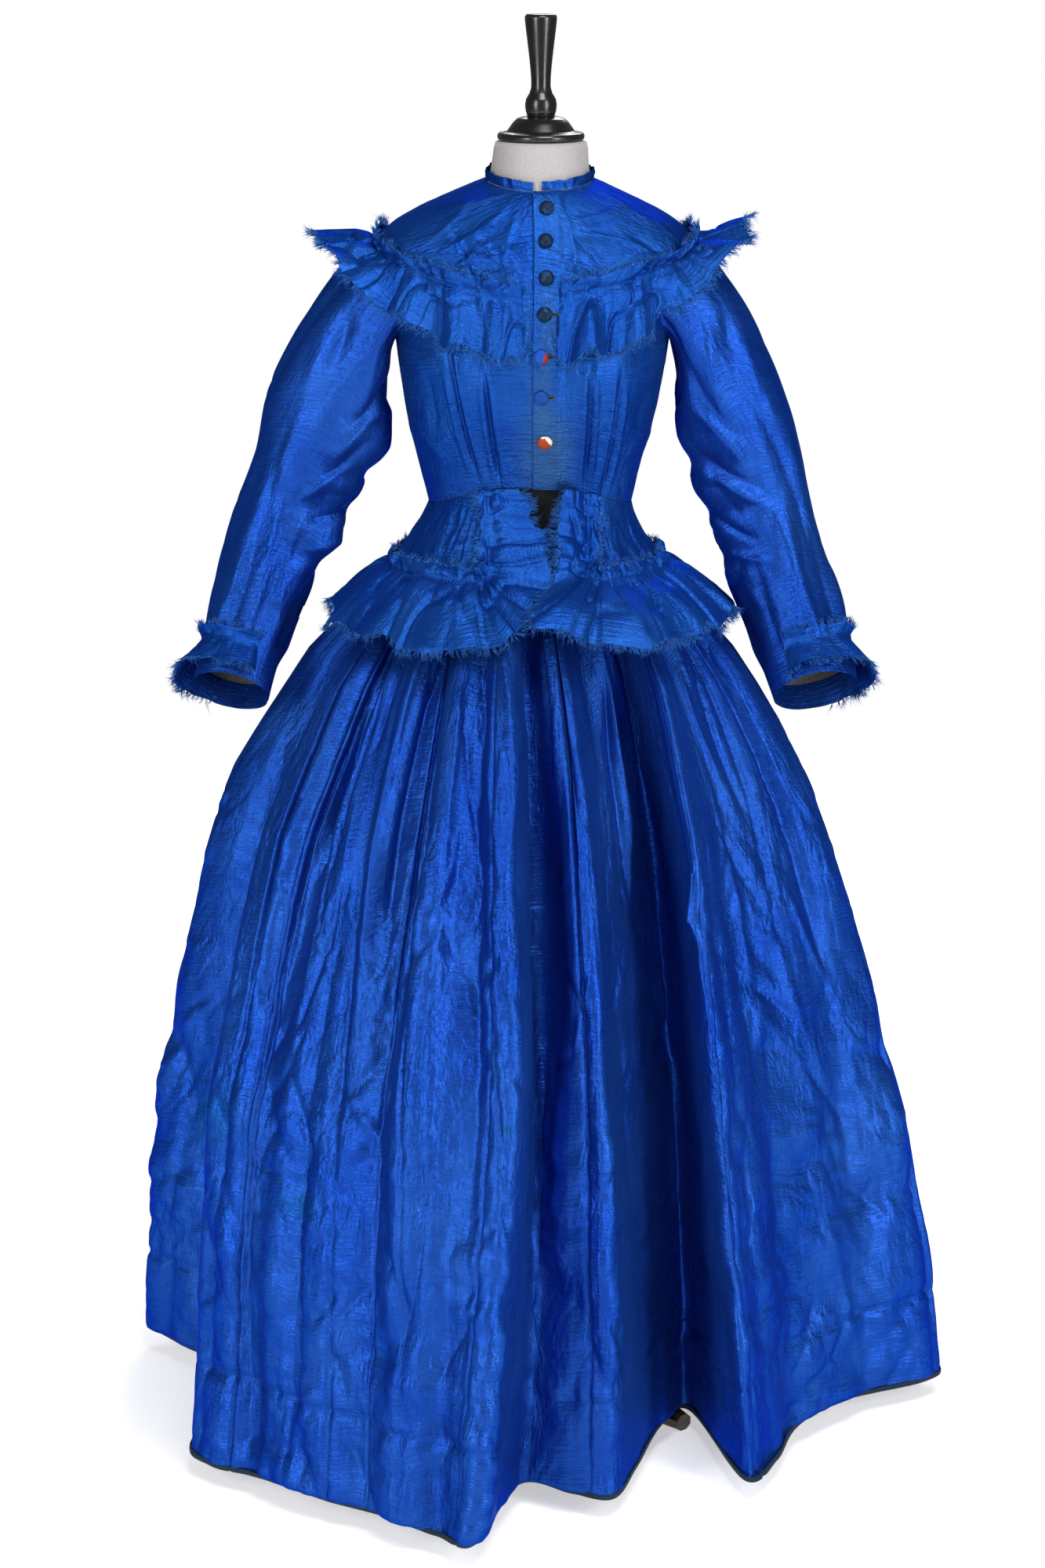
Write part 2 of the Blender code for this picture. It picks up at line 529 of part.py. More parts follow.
def sleeve_point(table, side, place, share):
    """A point of the sleeve: place -1 at the armhole, 0 at the biceps, 6 at the cuff."""
    if place >= 0:
        point = sleeve_ring_point(table, side, place, share)
        crease = sum(depth * math.exp(-((place - at) / 0.28) ** 2) * max(math.cos(2 * math.pi * (share - turn)), 0)
                     for at, turn, depth in ((0.5, 0.06, 0.007), (1.5, 0.10, 0.008), (2.5, 0.04, 0.005)))
        middle = sleeve_frame(table, place)[0]
        way = middle - point
        return point + way / np.linalg.norm(way) * crease
    start, end = armhole_point(side, share), sleeve_ring_point(table, side, 0.0, share)
    t = place + 1
    over = (1 - math.cos(2 * math.pi * share)) / 2
    leave = np.array((side * (0.050 + 0.050 * over), 0.0, 0.010 - 0.030 * (1 - over)))
    way = sleeve_frame(table, 0.0)[3]
    arrive = way * (0.060 + 0.110 * over)
    h00, h10 = 2 * t ** 3 - 3 * t ** 2 + 1, t ** 3 - 2 * t ** 2 + t
    h01, h11 = -2 * t ** 3 + 3 * t ** 2, t ** 3 - t ** 2
    return h00 * start + h10 * leave + h01 * end + h11 * arrive


SLEEVES = {
    "right": (-1, {name: column(SLEEVE_RIGHT_ROWS, SLEEVE_COLUMNS, name) for name in SLEEVE_COLUMNS}),
    "left": (1, {name: column(SLEEVE_LEFT_ROWS, SLEEVE_COLUMNS, name) for name in SLEEVE_COLUMNS}),
}


def build_sleeve(name, parent):
    """A curved coat sleeve, hollow from armhole to cuff."""
    side, table = SLEEVES[name]
    places = [-1.0, -0.70, -0.36, 0.1, 0.7, 1.4, 2.1, 3.0, 3.9, 4.9, 6.0]
    columns = SLEEVE_SIDES
    grid = []
    for place in reversed(places):
        ring = [sleeve_point(table, side, place, c / columns) for c in range(columns)]
        grid.append(ring if side > 0 else [ring[0]] + ring[:0:-1])
    grid = np.array(grid)
    cloth_wall(f"sleeve_{name}", grid, "taffeta", parent, closed=True)


def cuff_frill_grid(name, shares):
    """Points of the strip sewn round the outer half of a cuff, from its lower edge up to its heading."""
    side, table = SLEEVES[name]
    grid = []
    for values in CUFF_ROWS.values():
        strip = dict(zip(CUFF_COLUMNS, values))
        row = []
        for share in shares:
            turn = CUFF_FRILL["from_share"] + (CUFF_FRILL["to_share"] - CUFF_FRILL["from_share"]) * share
            point = sleeve_point(table, side, strip["place"], turn)
            middle = sleeve_frame(table, strip["place"])[0]
            way = (point - middle) / np.linalg.norm(point - middle)
            even = CUFF_FRILL["end_flare"]
            out = strip["flare"] * (even + (1 - even) * math.sin(math.pi * share)) + strip["clear"] + CLOTH
            out += strip["wave"] * CUFF_FRILL["wave"] * math.sin(2 * math.pi * CUFF_FRILL["waves"] * share)
            row.append(point + way * out)
        grid.append(row if side < 0 else row[::-1])
    return np.array(grid)


def yoke_level(turn):
    """The level of the yoke frill's gathering line."""
    side = abs((turn + 180) % 360 - 180)
    if side <= 90:
        return 4.72 + 1.66 * (side / 90) ** 1.2
    return 6.38 - 0.98 * smooth_step(side, 90, 150)


def yoke_frill_point(turn, drop):
    """A point of the yoke frill: drop 0 at the gathers, 1 at the frayed edge, below 0 in the heading."""
    side = abs((turn + 180) % 360 - 180)
    stand = smooth_step(side, 34, 82) * (1 - smooth_step(side, 98, 146))
    level = yoke_level(turn)
    foot = body_point(turn, level)
    normal = outward(body_point, turn, level, 1.0, 0.05)
    wave = math.sin(math.radians(turn) * 2 * YOKE_FRILL["waves"] + 0.7 * math.sin(math.radians(turn) * 5))
    loose = smooth_step(abs(drop), 0.0, 0.30)
    swell = YOKE_FRILL["wave"] * (0.25 + 0.75 * max(drop, 0.0)) * wave * loose
    clear = SEAT + (YOKE_FRILL["clear"] - SEAT) * loose + CLOTH
    if 0 < turn < 90:
        clear += LAP_RISE * (1 - smooth_step(turn, 14, 22))
    if drop < 0:
        rise = -drop * YOKE_FRILL["heading"]
        up = outward(body_point, turn, level + 0.4, 1.0, 0.05)
        point = body_point(turn, level + rise / 0.033)
        return point + up * (clear + 0.35 * rise + swell * 0.6)
    fall = drop * YOKE_FRILL["drop"]
    height = foot[2] - fall
    place = float(np.interp(height, BODY["height"][:7], range(7)))
    hung = body_point(turn, place)
    out = np.array((math.sin(math.radians(turn)), -math.cos(math.radians(turn)), 0.0))
    hung = hung + out * (clear + 0.010 * drop + swell)
    tilt = math.radians(88 if math.sin(math.radians(turn)) < 0 else 100)
    lift = np.array((0, 0, -math.cos(tilt))) + out * math.sin(tilt)
    across = np.array((0, 0, math.sin(tilt))) - out * math.cos(tilt) * -1
    free = foot + normal * clear + lift * fall * 0.95 + across * swell
    return hung * (1 - stand) + free * stand


def build_yoke_frills(parent):
    """The strip round the yoke, in two lengths that meet at the middle of the back."""
    drops = (1.0, 0.62, 0.25, 0.0, -1.0)
    for name, first, last in (("yoke_frill_left", 8.0, 179.6), ("yoke_frill_right", 180.4, 357.0)):
        grid = np.array([[yoke_frill_point(turn, drop) for turn in spaced(first, last, 33)] for drop in drops])
        cloth_wall(name, grid, "frill", parent)
        fray(f"{name}_edge_fray", grid, 0, 1, 28, parent)
        fray(f"{name}_heading_fray", grid, -1, -2, 14, parent)


def fray(name, grid, edge, inside, locks, parent):
    """A narrow strip parted from a cloth's edge row, with locks of frayed thread standing out of it."""
    luck = random.Random(name)
    normals = grid_normals(grid, False)[edge]
    way = grid[edge] - grid[inside]
    way /= np.linalg.norm(way, axis=1, keepdims=True)
    near = grid[edge] + way * SEAM_GAP * 1.3
    far = near + way * FRAY["strip"]
    segments = len(near) - 1
    chosen = {round((lock + 0.5) * segments / locks - 0.5) for lock in range(locks)}
    places, roots = [0.01], []
    for segment in range(segments):
        if segment in chosen:
            early = luck.random() < 0.5
            roots.append(len(places) - 1 if early else len(places))
            places.append(segment + (FRAY["base"] if early else 1 - FRAY["base"]))
        places.append(segment + 1.0 if segment < segments - 1 else segments - 0.01)
    columns = len(places)

    def along(values, place):
        first = min(int(place), segments - 1)
        return values[first] + (values[first + 1] - values[first]) * (place - first)

    rows = [[along(far, place) for place in places], [along(near, place) for place in places]]
    upward = edge != 0
    if upward:
        rows.reverse()
    outer = np.array(rows)
    inner = outer - np.array([[along(normals, place) for place in places]] * 2) * CLOTH * 0.85
    points = list(outer.reshape(-1, 3)) + list(inner.reshape(-1, 3))
    faces = wall_faces(outer, False)
    offset = columns if upward else 0
    for root in roots:
        a, b = offset + root, offset + root + 1
        face = (a, b, b + 2 * columns, a + 2 * columns) if upward else (b, a, a + 2 * columns, b + 2 * columns)
        faces.remove(face)
        foot = (points[a] + points[b] + points[a + 2 * columns] + points[b + 2 * columns]) / 4
        sideways = (points[b] - points[a]) * luck.uniform(-0.5, 0.5)
        place = (places[root] + places[root + 1]) / 2
        tip = foot + along(way, place) * FRAY["length"] * luck.uniform(0.6, 1.1) + sideways
        points.append(tip + along(normals, place) * CLOTH * luck.uniform(-1.0, 2.5))
        for start, end in zip(face, face[1:] + face[:1]):
            faces.append((start, end, len(points) - 1))
    add_mesh(name, points, faces, "frill", parent)


def peplum_turn(x, height):
    """The turn at which the peplum's front lies at this x."""
    low, high = -60.0, 60.0
    for _ in range(30):
        middle = (low + high) / 2
        if peplum_point(middle, height)[0] < x:
            low = middle
        else:
            high = middle
    return (low + high) / 2


def build_peplum(parent):
    """The two halves of the basque below the waist seam, parted at the front."""
    heights = (PEPLUM_FOOT, 0.962, 0.978, 0.996, 1.016, 1.0420 - 2 * SEAM_GAP)
    for name, side in (("peplum_left", 1), ("peplum_right", -1)):
        grid = []
        for height in heights:
            front = peplum_turn(side * PEPLUM_EDGE + PEPLUM_MIDDLE, height)
            turns = [front + (side * 179.7 - front) * place / 17 for place in range(18)]
            row = [peplum_point(turn, height) for turn in turns]
            grid.append(row if side > 0 else row[::-1])
        cloth_wall(name, np.array(grid), "taffeta", parent)


def peplum_frill_point(side, share, drop):
    """A point of the peplum frill, which runs down the front edge, fans round its corner and goes back.

    share 0 is at the waist in front and 1 at the middle of the back; drop is as on the yoke."""
    upright, corner, bend = 0.14, 0.30, 0.015
    line_x, line_height = PEPLUM_EDGE + 0.006, 0.974
    swell_way = math.sin(2 * math.pi * PEPLUM_FRILL["waves"] * share + 0.6 * math.sin(9 * share))
    swell = PEPLUM_FRILL["wave"] * (0.22 + 0.78 * max(drop, 0.0)) * swell_way
    loose = smooth_step(abs(drop), 0.0, 0.30)
    swell *= loose
    over = 0.0046 if side > 0 else -0.0022       # the wearer's left half laps over the right one
    clear = SEAT + (PEPLUM_FRILL["clear"] - SEAT) * loose + CLOTH
    if share < corner:
        down = min(share / upright, 1.0)
        angle = math.pi / 2 * max(0.0, (share - upright) / (corner - upright))
        width = 0.032 + 0.024 * down
        reach = drop * width if drop > 0 else drop * PEPLUM_FRILL["heading"] * 0.8
        tilt = angle + 0.12 * (1 - down)
        hub_height = 1.037 - (1.037 - line_height - bend) * down
        x = side * (line_x + bend) + PEPLUM_MIDDLE - side * (bend + reach) * math.cos(tilt)
        height = hub_height - (bend + reach) * math.sin(tilt)
        turn = peplum_turn(x, height)
        clear += over * smooth_step(drop, 0.2, 0.7)
        swell *= smooth_step(share, 0.02, 0.12) * 0.6
    else:
        start = peplum_turn(side * (line_x + bend) + PEPLUM_MIDDLE, line_height)
        turn = start + (side * 179.7 - start) * (share - corner) / (1 - corner)
        reach = drop * PEPLUM_FRILL["drop"] if drop > 0 else drop * PEPLUM_FRILL["heading"] * 0.8
        height = line_height - reach
        calm = smooth_step(share, corner, corner + 0.08)
        swell *= 0.6 + 0.4 * calm
        clear += over * smooth_step(drop, 0.2, 0.7) * (1 - calm)
    point = peplum_point(turn, height)
    normal = outward(peplum_point, turn, height, 1.0, 0.004)
    return point + normal * (clear + swell)


def build_peplum_frills(parent):
    """The strip round the peplum: up both front edges and along its foot, parted at the back."""
    drops = (1.0, 0.6, 0.25, 0.0, -1.0)
    for name, side in (("peplum_frill_left", 1), ("peplum_frill_right", -1)):
        shares = spaced(0.0, 1.0, 36)[::side]
        grid = np.array([[peplum_frill_point(side, share, drop) for share in shares] for drop in drops])
        cloth_wall(name, grid, "frill", parent)
        fray(f"{name}_edge_fray", grid, 0, 1, 26, parent)


def build_cuff_frills(parent):
    """The strip round each cuff's outer half."""
    for name in ("right", "left"):
        grid = cuff_frill_grid(name, spaced(0.0, 1.0, 13))
        cloth_wall(f"cuff_frill_{name}", grid, "frill", parent)
        fray(f"cuff_frill_{name}_edge_fray", grid, 0, 1, 8, parent)


FOLDS = {name: column(FOLD_ROWS, FOLD_COLUMNS, name) for name in FOLD_COLUMNS}
SPRING = {name: column(SPRING_ROWS, SPRING_COLUMNS, name) for name in SPRING_COLUMNS}


def looped(values, place):
    """A value on the closed Catmull-Rom curve through a ring of values."""
    count = len(values)
    first = int(math.floor(place))
    t = place - first
    a, b, c, d = (values[(first + k) % count] for k in (-1, 0, 1, 2))
    return 0.5 * (2 * b + (c - a) * t + (2 * a - 5 * b + 4 * c - d) * t ** 2 + (3 * b - a - 3 * c + d) * t ** 3)


def fold_line(index, down):
    """Where one ridge or hollow of the skirt lies, a share of the way down from the waistband."""
    fold = {name: values[index] for name, values in FOLDS.items()}
    turn = math.radians(fold["waist_turn"])
    out = np.array((math.sin(turn), -math.cos(turn)))
    top = body_point(fold["waist_turn"], 0.0)[:2] + out * (fold["waist_rise"] - BAND_EASE + 2 * SEAM_GAP)
    right = (1 + math.sin(turn)) / 2
    spread = (np.interp(down, SPRING["down"], SPRING["out_right"]) * right
              + np.interp(down, SPRING["down"], SPRING["out_left"]) * (1 - right))
    place = top + (np.array((fold["hem_x"], fold["hem_y"])) - top) * spread
    place[0] += fold["bow"] * math.sin(math.pi * down)
    swell = fold["swell"] * smooth_step(down, 0.03, 0.17) * (1 - smooth_step(down, fold["fade"] - 0.35, fold["fade"]))
    return place + out * swell


def fold_places(index):
    """The wall's columns for one fold: closer in front, where the folds are sharper."""
    samples = FRONT_SAMPLES if math.cos(math.radians(FOLDS["waist_turn"][index])) > -0.2 else BACK_SAMPLES
    return [index - 0.5 + step / samples for step in range(samples)]


def skirt_grid():
    """Points of the whole ring of the skirt from the hem up, and its outer normals."""
    count = len(FOLD_ROWS)
    places = [place for fold in range(count) for place in fold_places(fold)]
    grid = []
    for down in reversed(SKIRT_LEVELS):
        lines = [fold_line(index, down) for index in range(count)]
        xs, ys = [line[0] for line in lines], [line[1] for line in lines]
        height = SKIRT_TOP + (HEM_HEIGHT - SKIRT_TOP) * down
        grid.append([(looped(xs, place), looped(ys, place), height) for place in places])
    grid = np.array(grid)
    return grid, grid_normals(grid, True)


def build_skirt(parent):
    """Widths of silk seamed together, gathered at the top, in deep folds at the hem."""
    grid, normals = skirt_grid()
    columns = grid.shape[1]
    panels = FOLDS["panel"]
    starts = [i for i in range(len(panels)) if panels[i] != panels[i - 1]]
    for number, start in enumerate(starts):
        end = starts[(number + 1) % len(starts)]
        if end <= start:
            end += len(panels)
        first = sum(len(fold_places(fold)) for fold in range(start))
        width = sum(len(fold_places(fold % len(panels))) for fold in range(start, end))
        chosen = [step % columns for step in range(first, first + width + 1)]
        cloth_wall(panels[start], grid[:, chosen], "taffeta", parent, normals=normals[:, chosen])


def build_hem_binding(parent):
    """A dark braid round the outside of the hem, cut from the skirt's own points."""
    grid, normals = skirt_grid()
    low, above = grid[0], grid[1]
    way = (above - low) / np.linalg.norm(above - low, axis=1, keepdims=True)
    out = normals[0] * (CLOTH * 0.85 + SEAM_GAP)
    strip = np.array((low - way * 0.0010 + out, low + way * 0.0060 + out))
    cloth_wall("hem_binding", strip, "binding", parent, closed=True, thickness=CLOTH * 0.85,
               normals=np.array((normals[0], normals[0])))


def build_waistband(parent):
    """The dark tape that the skirt is gathered to, just below the bodice's waist seam."""
    columns = 24
    grid = []
    for low in (1.0, 0.0):
        row = []
        for place in range(columns):
            turn = 360 * place / columns
            top = body_point(turn, 0.0)
            out = np.array((math.sin(math.radians(turn)), -math.cos(math.radians(turn)), 0.0))
            height = top[2] - 0.0008 + (WAIST_BAND_LOW - top[2]) * low
            point = top - out * (CLOTH + BAND_EASE)
            row.append((point[0], point[1], height))
        grid.append(row)
    cloth_wall("waistband", np.array(grid), "band", parent, closed=True, thickness=0.0011)


def build_buttons(parent):
    """Seven domed buttons down the overlapping edge."""
    sides, rings = 12, BUTTON_PROFILE
    heights = BODY["height"]
    for name, values in BUTTON_ROWS.items():
        button = dict(zip(BUTTON_COLUMNS, values))
        level = float(np.interp(button["height"], heights, range(len(heights))))
        turn = front_turn(button["x"], level)
        seat = body_point(turn, level)
        normal = outward(body_point, turn, level, 1.0, 0.05)
        seat = seat + normal * (LAP_RISE + SEAM_GAP)
        across = np.cross(np.array((0.0, 0.0, 1.0)), normal)
        across /= np.linalg.norm(across)
        up = np.cross(normal, across)
        points = []
        for radius, rise in rings:
            for side in range(sides):
                angle = 2 * math.pi * side / sides
                around = across * math.cos(angle) + up * math.sin(angle)
                points.append(seat + around * radius * BUTTON_RADIUS + normal * rise * BUTTON_RISE)
        points.append(seat + normal * BUTTON_RISE)
        faces = [tuple(reversed(range(sides)))]
        for ring in range(len(rings) - 1):
            for side in range(sides):
                after = (side + 1) % sides
                low, high = ring * sides, (ring + 1) * sides
                faces.append((low + side, low + after, high + after, high + side))
        top = (len(rings) - 1) * sides
        for side in range(sides):
            faces.append((top + side, top + (side + 1) % sides, len(points) - 1))
        add_mesh(name, points, faces, "button_silk", parent)


def build_form(parent):
    """The linen-covered form, solid from the hips to the top of the neck."""
    columns = 24
    turns = [360 * place / columns for place in range(columns)]
    levels, eases = (column(FORM_ROWS, FORM_COLUMNS, name) for name in FORM_COLUMNS)
    body = np.array([[body_point(turn, level) for turn in turns] for level in levels])
    normals = grid_normals(body, True)
    rows = [body[i] - normals[i] * (CLOTH + eases[i]) for i in range(len(levels))]
    hips = []
    hip = {name: column(FORM_HIP_ROWS, FORM_HIP_COLUMNS, name) for name in FORM_HIP_COLUMNS}
    for i in range(len(FORM_HIP_ROWS)):
        ring = []
        for turn in turns:
            s, c = math.sin(math.radians(turn)), math.cos(math.radians(turn))
            depth = hip["front"][i] if c > 0 else hip["back"][i]
            ring.append((FORM_MIDDLE_X + hip["half_width"][i] * signed_power(s, 2 / BODY_SQUARE),
                         -depth * signed_power(c, 2 / BODY_SQUARE), hip["height"][i]))
        hips.append(ring)
    neck = []
    for rise, inset in FORM_NECK_SLOPE.values():
        flat = body[-1] - np.array([(math.sin(math.radians(t)), -math.cos(math.radians(t)), 0.0)
                                    for t in turns]) * inset
        neck.append(flat + np.array((0.0, 0.0, rise)))
    for height, radius in FORM_NECK_ROUND.values():
        neck.append([(radius * math.sin(math.radians(t)), -radius * math.cos(math.radians(t)), height)
                     for t in turns])
    grid = np.array(hips + rows + neck)
    count = len(grid)
    points = grid.reshape(-1, 3)
    faces = [tuple(reversed(range(columns)))]
    for r in range(count - 1):
        for c in range(columns):
            d = (c + 1) % columns
            faces.append((r * columns + c, r * columns + d, (r + 1) * columns + d, (r + 1) * columns + c))
    faces.append(tuple(range((count - 1) * columns, count * columns)))
    add_mesh("form_body", points, faces, "linen", parent)


def build_stand(parent):
    """Neck cap, finial, pole, hub and three legs, all turned or carved in black wood."""
    turned("form_neck_cap", CAP_PROFILE, NECK_TOP + SEAM_GAP, 20, "black_wood", parent)
    turned("form_finial", FINIAL_PROFILE, NECK_TOP + 2 * SEAM_GAP + CAP_PROFILE[-1][1], 14, "black_wood", parent)
    hub_top = HUB_PROFILE[-1][1]
    pole = ((POLE_RADIUS, 0.0), (POLE_RADIUS, FORM_BOTTOM - hub_top - 2 * SEAM_GAP))
    turned("stand_pole", pole, hub_top + SEAM_GAP, 16, "black_wood", parent)
    turned("stand_hub", HUB_PROFILE, 0.0, 16, "black_wood", parent)
    for number, turn in enumerate(LEG_TURNS, 1):
        out = np.array((math.sin(math.radians(turn)), -math.cos(math.radians(turn)), 0.0))
        across = np.array((math.cos(math.radians(turn)), math.sin(math.radians(turn)), 0.0))
        points, sides = [], 8
        rows = [dict(zip(LEG_COLUMNS, values)) for values in LEG_ROWS.values()]
        for row in rows:
            for side in range(sides):
                angle = 2 * math.pi * (side + 0.5) / sides
                rise = max(row["height"] + row["half_height"] * LEG_CORNER * math.sin(angle), 0.0)
                points.append(out * row["out"] + across * row["half_width"] * LEG_CORNER * math.cos(angle)
                              + np.array((0.0, 0.0, rise)))
        faces = [tuple(reversed(range(sides)))]
        for r in range(len(rows) - 1):
            for side in range(sides):
                after = (side + 1) % sides
                low, high = r * sides, (r + 1) * sides
                faces.append((low + side, low + after, high + after, high + side))
        faces.append(tuple(range((len(rows) - 1) * sides, len(rows) * sides)))
        add_mesh(f"stand_leg_{number}", points, faces, "black_wood", parent)


def stand_in_the_middle():
    """Moves every piece alike, so that the floor point under the middle of the whole is the origin."""
    meshes = [piece.data for piece in bpy.data.objects if piece.type == "MESH"]
    points = np.array([tuple(vertex.co) for mesh in meshes for vertex in mesh.vertices])
    middle = (points.min(axis=0) + points.max(axis=0)) / 2
    for mesh in meshes:
        mesh.transform(Matrix.Translation((-middle[0], -middle[1], 0.0)))


def build():
    """The whole gown on its form, under one empty."""
    for old in list(bpy.data.objects):
        bpy.data.objects.remove(old)
    root = bpy.data.objects.new("gown_on_form", None)
    bpy.context.scene.collection.objects.link(root)
    build_form(root)
    build_stand(root)
    build_bodice(root)
    build_neckband(root)
    for name in ("right", "left"):
        build_sleeve(name, root)
    build_cuff_frills(root)
    build_yoke_frills(root)
    build_waistband(root)
    build_peplum(root)
    build_peplum_frills(root)
    build_skirt(root)
    build_hem_binding(root)
    build_buttons(root)
    stand_in_the_middle()


build()
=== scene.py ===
import math

import bpy
import numpy as np
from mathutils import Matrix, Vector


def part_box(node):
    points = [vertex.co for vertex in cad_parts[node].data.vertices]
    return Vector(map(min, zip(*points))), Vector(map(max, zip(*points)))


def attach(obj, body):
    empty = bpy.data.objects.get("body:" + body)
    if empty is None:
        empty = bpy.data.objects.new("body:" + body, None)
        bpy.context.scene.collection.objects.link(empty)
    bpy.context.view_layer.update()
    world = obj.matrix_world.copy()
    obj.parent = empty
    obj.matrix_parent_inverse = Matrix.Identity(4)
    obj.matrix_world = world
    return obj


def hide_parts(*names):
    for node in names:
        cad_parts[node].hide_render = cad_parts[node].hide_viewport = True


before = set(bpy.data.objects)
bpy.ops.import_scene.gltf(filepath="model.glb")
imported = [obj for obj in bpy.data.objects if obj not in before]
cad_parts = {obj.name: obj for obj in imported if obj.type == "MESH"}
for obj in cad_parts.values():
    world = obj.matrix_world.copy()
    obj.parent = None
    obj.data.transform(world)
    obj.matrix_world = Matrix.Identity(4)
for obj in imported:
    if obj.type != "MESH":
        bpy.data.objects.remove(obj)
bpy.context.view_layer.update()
poleLow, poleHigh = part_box("stand_pole")           # the pole stands on the axis that every size is taken from
axisShift = np.array(((poleLow.x + poleHigh.x) / 2, (poleLow.y + poleHigh.y) / 2, 0.0))

clothWall = 0.0013          # outer face to lining, in metres as all sizes here
seamGap = 0.0003
lapRise = 0.0025            # the left front lies this much over the right one
bandEase = 0.0008
frontEdgeX, underlapX = -0.0085, 0.0130
waistBandLow, skirtTop, hemHeight = 1.008, 1.016, 0.025
made = {}                   # every piece of the scene by name


# curves, noise and meshes

def tableOf(columns, rows):
    values = list(rows.values())
    return {name: np.array([row[i] for row in values]) for i, name in enumerate(columns)
            if not isinstance(values[0][i], str)}


def throughFour(a, b, c, d, t):
    # a smooth curve from b to c, with a before them and d after
    return 0.5 * (2 * b + (c - a) * t + (2 * a - 5 * b + 4 * c - d) * t ** 2 + (3 * b - a - 3 * c + d) * t ** 3)


def curveAt(values, place):
    # smooth curve through evenly spaced values
    values = np.asarray(values, float)
    last = len(values) - 1
    place = np.clip(place, 0.0, last)
    first = np.minimum(place.astype(int), last - 1)
    before = np.where(first > 0, values[np.maximum(first - 1, 0)], 2 * values[0] - values[1])
    after = np.where(first + 2 <= last, values[np.minimum(first + 2, last)], 2 * values[last] - values[last - 1])
    return throughFour(before, values[first], values[first + 1], after, place - first)


def easeStep(value, low, high):
    t = np.clip((value - low) / (high - low), 0.0, 1.0)
    return t * t * (3 - 2 * t)


def unit(vectors):
    return vectors / np.maximum(np.linalg.norm(vectors, axis=-1, keepdims=True), 1e-12)


def signedPower(value, power):
    return np.sign(value) * np.abs(value) ** power


def softNoise(u, v, seed):
    # smooth uneven swells about one unit across, from -1 to 1
    lattice = np.random.default_rng(seed).uniform(-1, 1, (128, 128))
    iu, iv = np.floor(u).astype(int), np.floor(v).astype(int)
    fu, fv = u - iu, v - iv
    fu, fv = fu ** 3 * (fu * (fu * 6 - 15) + 10), fv ** 3 * (fv * (fv * 6 - 15) + 10)
    a, b = lattice[iu % 128, iv % 128], lattice[(iu + 1) % 128, iv % 128]
    c, d = lattice[iu % 128, (iv + 1) % 128], lattice[(iu + 1) % 128, (iv + 1) % 128]
    return (a * (1 - fu) + b * fu) * (1 - fv) + (c * (1 - fu) + d * fu) * fv


def crumple(u, v, seed):
    # crisp silk's sharp small ridges between flat facets, 0 to about 1
    bend = softNoise(u * 0.6, v * 0.6, seed + 1) * 0.7
    first = 1 - np.abs(softNoise(u + bend, v - bend, seed + 2)) * 2
    second = 1 - np.abs(softNoise(u * 0.7 - v * 0.7 + bend, u * 0.7 + v * 0.7, seed + 3)) * 2
    return np.maximum(first, second * 0.9) ** 2


def sharpFolds(across, along, size, turn, seed):
    # swells folded over along their middle: facets that meet in sharp bent creases, turned by some degrees
    c, s = math.cos(math.radians(turn)), math.sin(math.radians(turn))
    u, v = (across * c + along * s) / size[0], (along * c - across * s) / size[1]
    bend = softNoise(u * 0.6 + 7, v * 0.6 + 3, seed + 1) * 0.6
    return np.abs(softNoise(u + bend, v - bend, seed)) - 0.3


def lengthsAlong(grid, axis):
    # distance walked over the cloth from its first row or column
    steps = np.linalg.norm(np.diff(grid, axis=axis), axis=-1)
    start = np.zeros_like(np.take(steps, [0], axis=axis))
    return np.concatenate((start, np.cumsum(steps, axis=axis)), axis=axis)


def closedRound(grid):
    return np.concatenate((grid, grid[:, :1]), axis=1)


def evenTurns(count):
    return np.linspace(0, 360, count + 1)[:-1]


def outAt(turn):
    # the level way out at a turn: 0 in front, 90 at the wearer's left
    return np.stack((np.sin(np.radians(turn)), -np.cos(np.radians(turn)), 0 * turn), axis=-1)


def gridNormals(grid, closed=False):
    along = np.roll(grid, -1, axis=1) - np.roll(grid, 1, axis=1) if closed else np.gradient(grid, axis=1)
    return unit(np.cross(along, np.gradient(grid, axis=0)))


def tubeFaces(count, sides):
    # faces between closed rings of points, with each ring's point numbers and the next ones round it
    index = np.arange(count * sides).reshape(count, sides)
    after = np.roll(index, -1, axis=1)
    return index, after, np.stack((index[:-1], after[:-1], after[1:], index[1:]), axis=-1).reshape(-1, 4)


def fanFaces(first, second, middle):
    return np.stack((first, second, np.full(len(first), middle)), axis=-1)


def addObject(name, data):
    thing = bpy.data.objects.new(name, data)
    bpy.context.scene.collection.objects.link(thing)
    return thing


def nodeOf(name):
    # the frame's node for a piece of the same name
    return "".join("_" + letter.lower() if letter.isupper() else letter for letter in name)


def meshOf(name, points, faceRuns, finish, nodes=(), uv=None):
    # faceRuns: arrays of faces, each array with one number of corners
    mesh = bpy.data.meshes.new(name)
    loops = np.concatenate([run.reshape(-1) for run in faceRuns])
    sizes = np.concatenate([np.full(len(run), run.shape[1]) for run in faceRuns])
    mesh.vertices.add(len(points))
    mesh.vertices.foreach_set("co", (np.asarray(points, float) + axisShift).reshape(-1))
    mesh.loops.add(len(loops))
    mesh.loops.foreach_set("vertex_index", loops)
    mesh.polygons.add(len(sizes))
    mesh.polygons.foreach_set("loop_start", np.concatenate(([0], np.cumsum(sizes)[:-1])))
    if uv is not None:
        mesh.uv_layers.new(name="cloth").data.foreach_set("uv", uv.reshape(-1))
    mesh.update()
    mesh.validate()
    mesh.shade_smooth()
    mesh.materials.append(finish)
    piece = addObject(name, mesh)
    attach(piece, "root")
    if nodes:
        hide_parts(*nodes)
    made[name] = piece
    return piece


